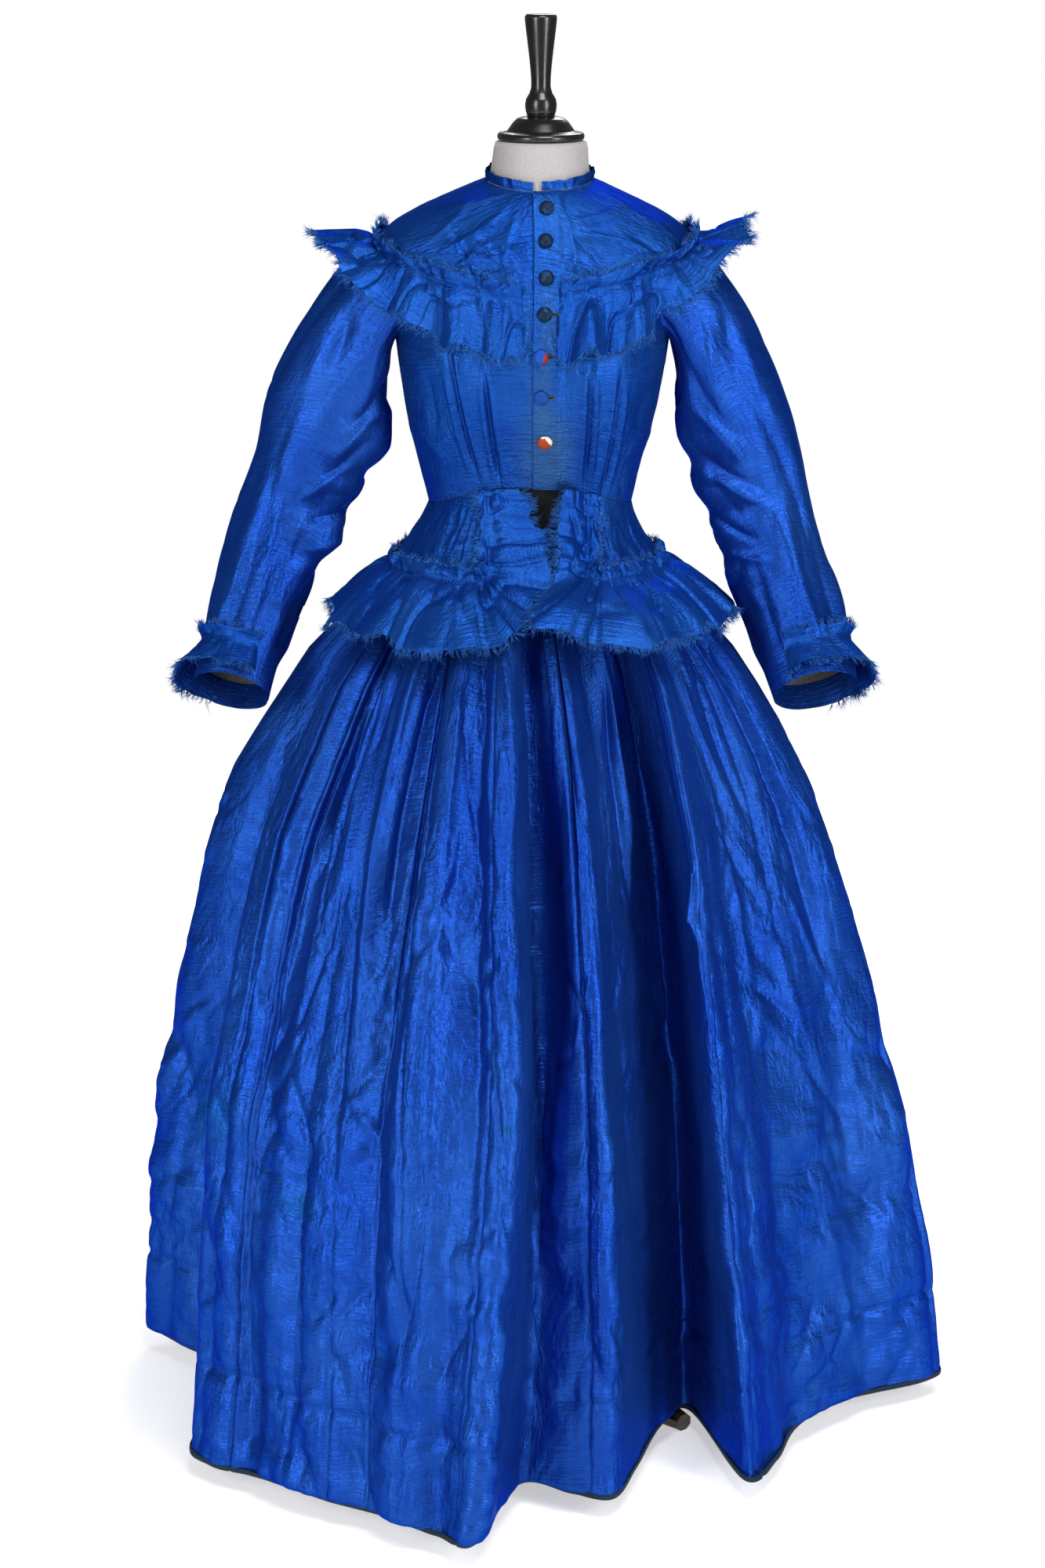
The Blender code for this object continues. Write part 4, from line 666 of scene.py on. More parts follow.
sleeveCreases = {
    "Right": (
        (478, 420, 455, 540, 9, 1.2, 8), (500, 470, 440, 560, 8, -1.5, 6), (495, 520, 425, 590, 8, 1.4, -6),
        (470, 560, 400, 620, 7, -1.6, 5), (455, 590, 385, 640, 6, 1.3, -4), (450, 640, 395, 665, 6, -1.4, 4),
        (440, 680, 380, 700, 6, 1.2, 4), (420, 430, 350, 640, 10, 1.0, -10), (400, 470, 330, 690, 9, -1.1, -8),
        (360, 640, 300, 840, 9, 1.2, 6), (330, 660, 285, 820, 8, -1.0, 5), (400, 700, 345, 860, 9, -1.1, 6),
        (445, 400, 420, 470, 8, -1.0, 4), (392, 640, 352, 800, 6, 0.9, -6), (310, 700, 275, 800, 6, 0.8, 4),
    ),
    "Left": (
        (905, 420, 930, 540, 9, 1.2, -8), (880, 470, 940, 560, 8, -1.5, -6), (885, 520, 955, 600, 8, 1.4, 6),
        (895, 580, 975, 625, 7, -1.6, -5), (905, 610, 985, 650, 6, 1.3, 4), (905, 650, 965, 690, 6, -1.4, -4),
        (920, 700, 985, 715, 6, 1.2, -4), (960, 430, 1020, 640, 10, 1.0, 10), (940, 470, 1040, 700, 9, -1.1, 8),
        (1000, 640, 1060, 850, 9, 1.2, -6), (1040, 680, 1085, 830, 8, -1.0, -5),
        (960, 700, 1010, 860, 9, -1.1, -6), (925, 400, 950, 470, 8, -1.0, -4), (985, 640, 1025, 810, 6, 0.9, 6),
        (1060, 700, 1092, 800, 6, 0.8, -4),
    ),
}


sleeveFolds = {"seen": 4.0, "hidden": 3.0, "gathers": 0.0012, "rumple": 0.0022, "girth": 0.34,
               "long": 0.0066, "longSize": (0.040, 0.290), "cross": 0.0070, "crossSize": (0.080, 0.040)}


def buildSleeve(name):
    side, table = sleeves[name]
    share = np.linspace(0, 1, 97)[:-1]
    places = np.concatenate((np.linspace(-1, 0, 46)[:-1], np.linspace(0, 6, 150)))[::-1]
    grid = sleevePoint(side, table, places[:, None], share[None, :])
    if side < 0:
        grid = np.roll(grid[:, ::-1], 1, axis=1)
    normals = gridNormals(grid, closed=True)
    px, py = picturePlace(grid)
    seen = creaseRelief(px, py, sleeveCreases[name]) * sleeveFolds["seen"]
    mirrored = creaseRelief(px + 14, py - 22, sleeveCreases[name]) * sleeveFolds["hidden"]    # on the hidden side
    relief = np.where(normals[..., 1] < 0.1, seen, -mirrored * 0.8)
    down = np.broadcast_to(places[:, None], relief.shape)
    columns, along = share[None, :], grid[..., 2]
    gathers = sleeveFolds["gathers"] * softNoise(np.arange(96)[None, :] / 3.2, down * 2.0, 41)
    gathers = gathers * (1 - easeStep(down, -0.9, -0.2))
    girth = columns * sleeveFolds["girth"]
    innerArm = 0.25 + 0.75 * np.maximum(np.cos(2 * np.pi * share), 0)[None, :]
    rumple = sleeveFolds["rumple"] * softNoise(columns * 14 + 3, along / 0.130 + 30, 42 + side)
    rumple += sleeveFolds["long"] * sharpFolds(girth, along, sleeveFolds["longSize"], 10 * side, 45 + side)
    crossed = sharpFolds(girth, along, sleeveFolds["crossSize"], 16 * side, 55 + side)   # most on the inner arm
    rumple += sleeveFolds["cross"] * innerArm * crossed
    relief = relief + gathers + rumple
    relief = relief * easeStep(down, -1.0, -0.93) * (1 - 0.7 * easeStep(down, 4.5, 5.2))
    return clothPiece("sleeve" + name, grid + normals * relief[..., None], sleeveTaffeta, closed=True)


cuffLining = {"from": 4.80, "to": 5.36, "flat": 5.30, "inset": 0.0028, "deeper": 0.0090}


def buildCuffLining(name):
    # the cotton lining inside the cuff, behind a turned-in edge of silk
    side, table = sleeves[name]
    share = np.linspace(0, 1, 49)[:-1]
    places = np.linspace(cuffLining["from"], cuffLining["to"], 16)
    grid = sleevePoint(side, table, places[:, None], share[None, :])
    middle = sleeveFrame(table, np.broadcast_to(places[:, None], grid.shape[:2]))[0]
    deeper = 1 - easeStep(places, cuffLining["from"], cuffLining["flat"])
    inset = cuffLining["inset"] + cuffLining["deeper"] * deeper
    grid = grid + unit(middle - grid) * inset[:, None, None]
    return clothPiece("cuffLining" + name, grid, liningCotton, (), closed=True)


for build in (buildSleeve, buildCuffLining):
    for name in sleeves:
        build(name)
print("sleeves made")


# frayed edges

fraying = {"spacing": 0.0018, "length": 0.0105, "thick": 0.00034, "perLock": 4, "headingShare": 0.8}


def readAlong(values, where, steps):
    return np.stack([np.interp(where, steps, values[:, k]) for k in range(3)], axis=-1)


def stepsAlong(line):
    return np.concatenate(([0], np.cumsum(np.linalg.norm(np.diff(line, axis=0), axis=1))))


def frayAlong(name, edge, way, normal, seed, nodes, length=1.0):
    # locks of loose silk threads, each thread a thin three-sided spike in three steps, bent and tapering
    luck = np.random.default_rng(seed)
    steps = stepsAlong(edge)
    locks = max(int(steps[-1] / fraying["spacing"]), 4)
    at = np.sort(luck.uniform(0, steps[-1], locks))
    lockLean, lockLong = luck.normal(0, 0.45, locks), luck.uniform(0.35, 1.20, locks)
    lockLift = luck.normal(0, 0.35, locks)
    threads, lockLean, lockLong, lockLift = (np.repeat(values, fraying["perLock"])
                                             for values in (at, lockLean, lockLong, lockLift))
    count = len(threads)
    along = np.clip(threads + luck.normal(0, 0.0010, count), 0, steps[-1])
    root, out, up = (readAlong(values, along, steps) for values in (edge, way, normal))
    out, up = unit(out), unit(up)
    side = unit(np.cross(out, up))
    lean = (lockLean + luck.normal(0, 0.22, count))[:, None]
    lift = (lockLift + luck.normal(0, 0.25, count))[:, None]
    reach = (fraying["length"] * length * lockLong * luck.uniform(0.7, 1.1, count))[:, None]
    points = []
    for share, width in ((-0.12, 1.0), (0.55, 0.85), (1.0, 0.15)):
        curl = lean * share * abs(share) * 0.6 + lean * share * 0.5
        place = root + out * reach * share + side * reach * curl
        place = place + up * (reach * lift * share * abs(share) + 0.0003)
        for k in range(3):
            turn = 2 * math.pi * k / 3
            points.append(place + (side * math.cos(turn) + up * math.sin(turn)) * fraying["thick"] * width)
    points = np.stack(points, axis=1)                       # thread, ring point
    index = np.arange(count * 9).reshape(count, 3, 3)
    faces = np.concatenate([np.stack((index[:, r, k], index[:, r, (k + 1) % 3], index[:, r + 1, (k + 1) % 3],
                                      index[:, r + 1, k]), axis=-1) for r in range(2) for k in range(3)])
    caps = np.concatenate((index[:, 0, ::-1], index[:, 2]))
    return meshOf(name, points.reshape(-1, 3), [faces, caps], frayedSilk, nodes)


def frilledStrip(name, grid, seed, headingBuilt=False):
    # a strip with both edges frayed; the solids have a frayed heading where headingBuilt says so
    normals = gridNormals(grid)
    strip = clothPiece(name, grid, frillTaffeta)
    edgeName, headingName = name + "EdgeFray", name + "HeadingFray"
    frayAlong(edgeName, grid[0], grid[0] - grid[3], normals[0], seed, (nodeOf(edgeName),))
    frayAlong(headingName, grid[-1], grid[-1] - grid[-3], normals[-1], seed + 1,
              (nodeOf(headingName),) if headingBuilt else (), fraying["headingShare"])
    return strip


# the frill round the yoke

yokeFrill = {"drop": 0.064, "heading": 0.013, "clear": 0.0045, "seat": 0.0008, "waves": 11, "wave": 0.0065,
             "least": 0.25, "gather": 0.0046, "pinch": 1.2, "narrow": 3.0, "flop": 0.0070}


def frillSwell(frill, drop, wave, gathers, smaller):
    # how a gathered strip stands off at each place: clear of what it lies on, waved, and pinched into gathers
    loose = easeStep(np.abs(drop), 0.0, 0.30)
    clear = frill["seat"] + (frill["clear"] - frill["seat"]) * loose + clothWall
    swell = frill["wave"] * (frill["least"] + (1 - frill["least"]) * np.maximum(drop, 0.0)) * wave * loose
    fine = gathers * 1.1 + smaller * 0.40 * (1 - 0.5 * np.maximum(drop, 0))
    fine = fine - frill["pinch"] * np.maximum(1 - np.abs(gathers) * frill["narrow"], 0) ** 1.5
    return clear, swell, frill["gather"] * fine * easeStep(np.abs(drop), 0.0, 0.12)


def yokeLevel(turn):
    side = np.abs((turn + 180) % 360 - 180)
    front = 4.72 + 1.66 * (np.minimum(side, 90) / 90) ** 1.2
    return np.where(side <= 90, front, 6.38 - 0.98 * easeStep(side, 90, 150))


def yokeFrillPoint(turn, drop):
    turn, drop = np.broadcast_arrays(np.asarray(turn, float), np.asarray(drop, float))
    side = np.abs((turn + 180) % 360 - 180)
    stand = (easeStep(side, 34, 82) * (1 - easeStep(side, 98, 146)))[..., None]
    level = yokeLevel(turn)
    foot = bodyPoint(turn, level)
    normal = bodyOut(turn, level)
    wave = np.sin(np.radians(turn) * 2 * yokeFrill["waves"] + 0.7 * np.sin(np.radians(turn) * 5))
    gathers = softNoise(turn / 6.5 + drop * 0.5, drop * 1.3 + 3, 61)
    smaller = softNoise(turn / 2.2, drop * 1.1 + 5, 62)
    clear, swell, fine = frillSwell(yokeFrill, drop, wave, gathers, smaller)
    flop = np.maximum(softNoise(turn / 8.0, drop * 0.5, 63), 0)
    swell = swell + fine
    swell = swell + yokeFrill["flop"] * flop * np.maximum(drop, 0) ** 2
    clear = clear + np.where((turn > 0) & (turn < 90), lapRise * (1 - easeStep(turn, 14, 22)), 0.0)
    rise = np.maximum(-drop, 0.0) * yokeFrill["heading"]
    up = bodyOut(turn, level + 0.4)
    head = bodyPoint(turn, level + rise / 0.033) + up * (clear + 0.45 * rise + swell)[..., None]
    fall = np.maximum(drop, 0.0) * yokeFrill["drop"] * (0.96 + 0.17 * softNoise(turn / 6.0, 0 * turn + 2, 64))
    place = np.interp(foot[..., 2] - fall, body["height"][:7], np.arange(7))
    out = outAt(turn)
    hung = bodyPoint(turn, place) + out * (clear + 0.010 * drop + swell)[..., None]
    tilt = np.radians(np.where(np.sin(np.radians(turn)) < 0, 88.0, 100.0))[..., None]
    upright = np.array((0.0, 0.0, 1.0))
    lift = -upright * np.cos(tilt) + out * np.sin(tilt)
    across = upright * np.sin(tilt) + out * np.cos(tilt)
    free = foot + normal * clear[..., None] + lift * fall[..., None] * 0.95 + across * swell[..., None]
    return np.where(drop[..., None] < 0, head, hung * (1 - stand) + free * stand)


def stripDrops():
    # rows of a frill: from its lower edge at 1 up to the seam at 0, then to the heading's edge at -1
    return np.concatenate((np.linspace(1, 0, 34), np.linspace(0, -1, 9)[1:]))[:, None]


for name, first, last, seed in (("yokeFrillLeft", 8.0, 179.6, 71), ("yokeFrillRight", 180.4, 357.0, 73)):
    grid = yokeFrillPoint(np.linspace(first, last, 360)[None, :], stripDrops())
    frilledStrip(name, grid, seed, headingBuilt=True)
print("yoke frill made")


# peplum

peplumColumns = ("height", "halfWidth", "front", "back", "middleX")
peplum = tableOf(peplumColumns, {
    "seam":    (1.0420, 0.1125, 0.0840, 0.0760, -0.012),
    "upper":   (1.0220, 0.1190, 0.0950, 0.0860, -0.014),
    "middle":  (1.0040, 0.1290, 0.1080, 0.1010, -0.016),
    "spring":  (0.9860, 0.1430, 0.1240, 0.1190, -0.016),
    "flare":   (0.9690, 0.1600, 0.1440, 0.1400, -0.014),
    "heading": (0.9510, 0.1830, 0.1670, 0.1640, -0.012),
    "frill":   (0.9330, 0.2050, 0.1890, 0.1870, -0.012),
    "edge":    (0.9130, 0.2250, 0.2100, 0.2090, -0.012),
})
peplumCut = {"seam": 1.042, "foot": 0.948, "edge": 0.047, "middle": -0.003, "square": 2.2}
peplumFolds = {"seen": 2.0, "hidden": 0.0010, "swell": 0.0012, "ridge": 0.0016}
peplumFrill = {"drop": 0.060, "heading": 0.012, "clear": 0.0055, "seat": 0.0008, "waves": 10, "wave": 0.0050,
               "least": 0.22, "gather": 0.0042, "pinch": 1.1, "narrow": 3.5, "upright": 0.14, "cornerEnd": 0.30,
               "lapLeft": 0.0085, "lapRight": -0.0022}        # the left half laps over the right one
# how far the frill reaches from the corner's hub, by the angle below level
peplumEnds = {"angle": np.radians((0, 12, 22, 32, 40, 50, 62, 75, 90)),
              "Left": (0.052, 0.055, 0.062, 0.090, 0.100, 0.086, 0.077, 0.072, 0.071),
              "Right": (0.082, 0.080, 0.079, 0.080, 0.082, 0.080, 0.077, 0.072, 0.071)}


def peplumPoint(turn, height):
    turn, height = np.broadcast_arrays(np.asarray(turn, float), np.asarray(height, float))
    place = np.interp(-height, -peplum["height"], np.arange(len(peplum["height"])))
    row = {name: curveAt(values, place) for name, values in peplum.items()}
    s, c = np.sin(np.radians(turn)), np.cos(np.radians(turn))
    power = 2 / peplumCut["square"]
    arch = body["liftFront"][0] * np.maximum(c, 0) ** 2 * (1 - easeStep(place, 0, 4))
    return np.stack((row["middleX"] + row["halfWidth"] * signedPower(s, power),
                     -np.where(c > 0, row["front"], row["back"]) * signedPower(c, power), height + arch), axis=-1)


peplumCreases = (
    (560, 655, 548, 720, 5, 0.9, 4), (585, 660, 578, 725, 5, -0.8, -3), (610, 655, 606, 730, 5, 0.9, 3),
    (630, 650, 640, 720, 5, -0.7, 3), (535, 665, 515, 712, 5, -0.8, 3), (655, 660, 668, 728, 5, 0.8, -3),
    (765, 655, 775, 728, 5, 0.9, -4), (790, 660, 806, 725, 5, -0.8, 3), (735, 655, 728, 725, 5, -0.7, -3),
    (815, 660, 838, 718, 5, 0.9, -3), (752, 650, 756, 720, 4, 0.6, 3), (600, 690, 560, 700, 5, 0.6, 2),
)


def peplumOut(turn, height):
    return outward(peplumPoint, turn, height, 1.0, 0.004)


def buildPeplum(name, side):
    heights = np.linspace(peplumCut["foot"], peplumCut["seam"] - 2 * seamGap, 46)[:, None]
    front = turnAtX(peplumPoint, side * peplumCut["edge"] + peplumCut["middle"], heights)
    share = np.linspace(0, 1, 220)[None, :]
    turns = front + (side * 179.7 - front) * share
    if side < 0:
        turns = turns[:, ::-1]
    heights = np.broadcast_to(heights, turns.shape)
    grid = peplumPoint(turns, heights)
    down = easeStep(peplumCut["seam"] - heights, 0.0, 0.02)
    relief = np.where(np.cos(np.radians(turns)) > 0, creaseRelief(*picturePlace(grid), peplumCreases),
                      peplumFolds["hidden"] * softNoise(turns / 7.0, heights / 0.05, 82))
    relief = relief * peplumFolds["seen"] + peplumFolds["swell"] * softNoise(turns / 4.0, heights / 0.09, 81)
    relief = relief + peplumFolds["ridge"] * (crumple(turns / 11.0 + 30, heights / 0.050, 83) - 0.3)
    grid = grid + peplumOut(turns, heights) * (relief * down)[..., None]
    return clothPiece("peplum" + name, grid, bodiceTaffeta)


def peplumFrillPoint(side, share, drop):
    # up the front edge at share 0, round its corner, then back along the foot to share 1
    share, drop = np.broadcast_arrays(np.asarray(share, float), np.asarray(drop, float))
    upright, cornerEnd, bend = peplumFrill["upright"], peplumFrill["cornerEnd"], 0.015
    lineX, lineHeight, topHeight = peplumCut["edge"] + 0.006, 0.974, 1.0415
    wave = np.sin(2 * np.pi * peplumFrill["waves"] * share + 0.6 * np.sin(9 * share))
    gathers = softNoise(share * 30 + 9 + drop * 0.5, drop * 1.3 + 3, 91 + side)
    smaller = softNoise(share * 90, drop * 1.1, 93 + side)
    clear, swell, fine = frillSwell(peplumFrill, drop, wave, gathers, smaller)
    over = peplumFrill["lapLeft" if side > 0 else "lapRight"]
    early = share < cornerEnd
    down = np.minimum(share / upright, 1.0)
    angle = np.pi / 2 * np.maximum(0.0, (share - upright) / (cornerEnd - upright))
    ragged = 0.97 + 0.12 * softNoise(share * 30, 0 * share + 2, 97 + side)
    corner = peplumEnds["Left" if side > 0 else "Right"]
    reachOut = 0.032 + (corner[0] - bend - 0.032) * down
    reachOut = np.where(share < upright, reachOut, np.interp(angle, peplumEnds["angle"], corner) - bend)
    reachEarly = np.where(drop > 0, drop * reachOut * ragged, drop * peplumFrill["heading"] * 0.8)
    hubHeight = topHeight - (topHeight - lineHeight - bend) * down
    xEarly = side * (lineX + bend) + peplumCut["middle"] - side * (bend + reachEarly) * np.cos(angle)
    heightEarly = hubHeight - (bend + reachEarly) * np.sin(angle)
    turnEarly = turnAtX(peplumPoint, xEarly, heightEarly)
    calm = easeStep(share, cornerEnd, cornerEnd + 0.08)
    start = turnAtX(peplumPoint, side * (lineX + bend) + peplumCut["middle"], lineHeight)
    turnLate = start + (side * 179.7 - start) * (share - cornerEnd) / (1 - cornerEnd)
    reachLate = np.where(drop > 0, drop * peplumFrill["drop"] * ragged, drop * peplumFrill["heading"] * 0.8)
    turn, height = np.where(early, turnEarly, turnLate), np.where(early, heightEarly, lineHeight - reachLate)
    clear = clear + over * easeStep(drop, 0.2, 0.7) * np.where(early, 1.0, 1 - calm)
    swell = swell * np.where(early, easeStep(share, 0.02, 0.12) * 0.6, 0.6 + 0.4 * calm)
    return peplumPoint(turn, height) + peplumOut(turn, height) * (clear + swell + fine)[..., None]


for name, side, seed in (("Left", 1, 101), ("Right", -1, 103)):
    buildPeplum(name, side)
    share = np.linspace(0, 1, 400)[::side][None, :]
    frilledStrip("peplumFrill" + name, peplumFrillPoint(side, share, stripDrops()), seed)
print("peplum made")


# cuff frills

cuffFrill = {"fromShare": 0.18, "toShare": 0.71, "waves": 3, "wave": 0.0030, "endFlare": 0.3,
             "gather": 0.0020}
cuffRows = tableOf(("place", "flare", "wave", "clear"), {
    "edge":    (5.86, 0.020, 1.0, 0.0030),
    "fall":    (5.45, 0.010, 0.8, 0.0020),
    "gathers": (4.90, 0.000, 0.0, 0.0001),
    "heading": (4.66, 0.003, 0.5, 0.0030),
})


def buildCuffFrill(name, seed):
    side, table = sleeves[name]
    share = np.linspace(0, 1, 150)[None, :]
    row = np.linspace(0, 3, 40)[:, None]
    share, row = np.broadcast_arrays(share, row)
    strip = {key: curveAt(values, row) for key, values in cuffRows.items()}
    turn = cuffFrill["fromShare"] + (cuffFrill["toShare"] - cuffFrill["fromShare"]) * share
    point = sleevePoint(side, table, strip["place"], turn)
    way = unit(point - sleeveFrame(table, strip["place"])[0])
    even = cuffFrill["endFlare"]
    out = strip["flare"] * (even + (1 - even) * np.sin(np.pi * share)) + strip["clear"] + clothWall
    out = out + strip["wave"] * cuffFrill["wave"] * np.sin(2 * np.pi * cuffFrill["waves"] * share)
    seated = easeStep(np.abs(row - 2), 0.0, 0.4)
    out = out + cuffFrill["gather"] * softNoise(share * 22, row * 0.6, seed) * seated
    grid = point + way * out[..., None]
    if side > 0:
        grid = grid[:, ::-1]
    return frilledStrip("cuffFrill" + name, grid, seed)


buildCuffFrill("Right", 111)
buildCuffFrill("Left", 113)
print("cuff frills made")


# skirt

foldColumns = ("waistTurn", "hemX", "hemY", "waistRise", "bow", "swell", "fade", "panel")
foldRows = {
    "leftFrontCorner": (-74, -0.388, -0.255, 0.0030, 0.000, 0.008, 0.80, "skirtSideRight"),
    "leftFrontTurn":   (-66, -0.362, -0.314, 0.0020, 0.000, 0.002, 0.80, "skirtSideRight"),
    "outerValley":     (-57, -0.318, -0.338, 0.0000, -0.004, -0.024, 0.50, "skirtFrontRight"),
    "sidePanelEdge":   (-50, -0.284, -0.362, 0.0035, 0.000, 0.008, 0.80, "skirtFrontRight"),
    "sidePanel":       (-42, -0.228, -0.404, 0.0035, 0.000, 0.006, 0.80, "skirtFrontRight"),
    "innerValley":     (-34, -0.178, -0.432, 0.0000, 0.004, -0.026, 0.62, "skirtFrontRight"),
    "broadEdge":       (-28, -0.142, -0.462, 0.0035, 0.004, 0.008, 0.80, "skirtFrontRight"),
    "broadPanel":      (-19, -0.108, -0.486, 0.0035, 0.010, 0.002, 0.80, "skirtFrontRight"),
    "broadCorner":     (-9, -0.070, -0.508, 0.0030, 0.036, 0.004, 0.80, "skirtFrontCentre"),
    "centreRecess":    (-3, -0.024, -0.362, 0.0000, 0.020, -0.014, 0.80, "skirtFrontCentre"),
    "centrePanel":     (4, 0.034, -0.384, 0.0035, 0.004, 0.008, 0.80, "skirtFrontCentre"),
    "centreCorner":    (9, 0.078, -0.396, 0.0030, 0.002, 0.004, 0.80, "skirtFrontCentre"),
    "centreValley":    (16, 0.104, -0.320, 0.0000, 0.000, -0.020, 0.80, "skirtFrontCentre"),
    "recessRidge":     (25, 0.134, -0.212, 0.0035, 0.004, 0.008, 0.50, "skirtFrontCentre"),
    "deepRecess":      (36, 0.169, -0.168, 0.0000, 0.002, -0.006, 0.60, "skirtFrontCentre"),
    "roundFold":       (45, 0.222, -0.350, 0.0035, -0.012, 0.010, 0.80, "skirtFrontCentre"),
    "roundFoldSide":   (51, 0.260, -0.298, 0.0020, -0.010, 0.000, 0.80, "skirtFrontLeft"),
    "rightHollow":     (58, 0.288, -0.212, 0.0000, 0.000, -0.016, 0.70, "skirtFrontLeft"),
    "rightPanel":      (66, 0.352, -0.138, 0.0030, 0.000, 0.008, 0.80, "skirtFrontLeft"),
    "rightCorner":     (77, 0.446, -0.086, 0.0025, 0.000, 0.000, 0.80, "skirtFrontLeft"),
    "rightTurn":       (88, 0.460, -0.040, 0.0025, 0.000, 0.000, 0.80, "skirtFrontLeft"),
    "sideLeftHollow":  (98, 0.385, 0.060, 0.0000, 0.000, -0.008, 0.80, "skirtSideLeft"),
    "sideLeftFold":    (108, 0.436, 0.170, 0.0035, 0.000, 0.008, 0.80, "skirtSideLeft"),
    "backLeftHollow":  (119, 0.325, 0.192, 0.0000, 0.000, -0.010, 0.80, "skirtSideLeft"),
    "backLeftFold":    (130, 0.348, 0.346, 0.0035, 0.000, 0.010, 0.80, "skirtSideLeft"),
    "backLeftGather":  (140, 0.232, 0.300, 0.0000, 0.000, -0.012, 0.80, "skirtBackLeft"),
    "backLeftPleat":   (151, 0.206, 0.458, 0.0035, 0.000, 0.010, 0.80, "skirtBackLeft"),
    "backHollowLeft":  (162, 0.118, 0.352, 0.0000, 0.000, -0.014, 0.80, "skirtBackLeft"),
    "backFold":        (173, 0.052, 0.506, 0.0035, 0.000, 0.010, 0.80, "skirtBackLeft"),
    "backHollowRight": (184, -0.028, 0.366, 0.0000, 0.000, -0.014, 0.80, "skirtBackRight"),
    "backRightPleat":  (195, -0.118, 0.490, 0.0035, 0.000, 0.010, 0.80, "skirtBackRight"),
    "backRightGather": (206, -0.160, 0.340, 0.0000, 0.000, -0.012, 0.80, "skirtBackRight"),
    "backRightFold":   (217, -0.276, 0.420, 0.0035, 0.000, 0.010, 0.80, "skirtBackRight"),
    "backRightHollow": (228, -0.268, 0.262, 0.0000, 0.000, -0.010, 0.80, "skirtSideRight"),
    "sideRightFold":   (239, -0.386, 0.270, 0.0035, 0.000, 0.008, 0.80, "skirtSideRight"),
    "sideRightHollow": (250, -0.340, 0.140, 0.0000, 0.000, -0.010, 0.80, "skirtSideRight"),
    "leftSideFold":    (260, -0.460, 0.085, 0.0030, 0.000, 0.000, 0.80, "skirtSideRight"),
    "leftSideTurn":    (268, -0.430, 0.022, 0.0025, 0.000, 0.000, 0.80, "skirtSideRight"),
    "leftSideHollow":  (277, -0.330, -0.095, 0.0000, 0.000, -0.008, 0.80, "skirtSideRight"),
}
folds = tableOf(foldColumns, foldRows)
folds["waistTurn"] = folds["waistTurn"].astype(float)
foldPanels = [row[-1] for row in foldRows.values()]
spring = tableOf(("down", "outLeft", "outRight"), {
    "waist": (0.000, 0.000, 0.000), "gathers": (0.030, 0.040, 0.035), "underBasque": (0.060, 0.120, 0.105),
    "basqueEdge": (0.100, 0.235, 0.210), "hip": (0.156, 0.387, 0.339), "lowHip": (0.229, 0.514, 0.461),
    "thigh": (0.303, 0.634, 0.564), "lowThigh": (0.415, 0.734, 0.667), "knee": (0.490, 0.785, 0.730),
    "calf": (0.585, 0.867, 0.794), "lowCalf": (0.682, 0.915, 0.864), "shin": (0.779, 0.946, 0.922),
    "ankle": (0.878, 0.967, 0.975), "hem": (1.000, 1.000, 1.000),
})


def looped(values, place):
    # values: folds x rows, read on a closed smooth curve round the folds
    count = len(values)
    first = np.floor(place).astype(int)
    return throughFour(*(values[(first + k) % count].T for k in (-1, 0, 1, 2)), (place - first)[None, :])


def springAt(name, down):
    # the spring curve read smoothly between its rows
    place = np.interp(down, spring["down"], np.arange(len(spring["down"])))
    straight = np.interp(down, spring["down"], spring[name])
    return 0.4 * straight + 0.6 * curveAt(spring[name], place)


def foldLines(down):
    # x and y of every fold line at every height: folds x heights
    turn = np.radians(folds["waistTurn"])[:, None]
    out = np.stack((np.sin(turn), -np.cos(turn)), axis=-1)
    top = bodyPoint(folds["waistTurn"], 0.0)[:, None, :2]
    top = top + out * (folds["waistRise"][:, None, None] - bandEase + 2 * seamGap)
    right = (1 + np.sin(turn)) / 2
    spread = springAt("outRight", down)[None, :] * right + springAt("outLeft", down)[None, :] * (1 - right)
    hem = np.stack((folds["hemX"], folds["hemY"]), axis=-1)[:, None, :]
    place = top + (hem - top) * spread[..., None]
    place[..., 0] += folds["bow"][:, None] * np.sin(np.pi * down)[None, :]
    fade = folds["fade"][:, None]
    swell = folds["swell"][:, None] * easeStep(down, 0.03, 0.17)[None, :]
    swell = swell * (1 - easeStep(down[None, :], fade - 0.35, fade))
    return place + out * swell[..., None]


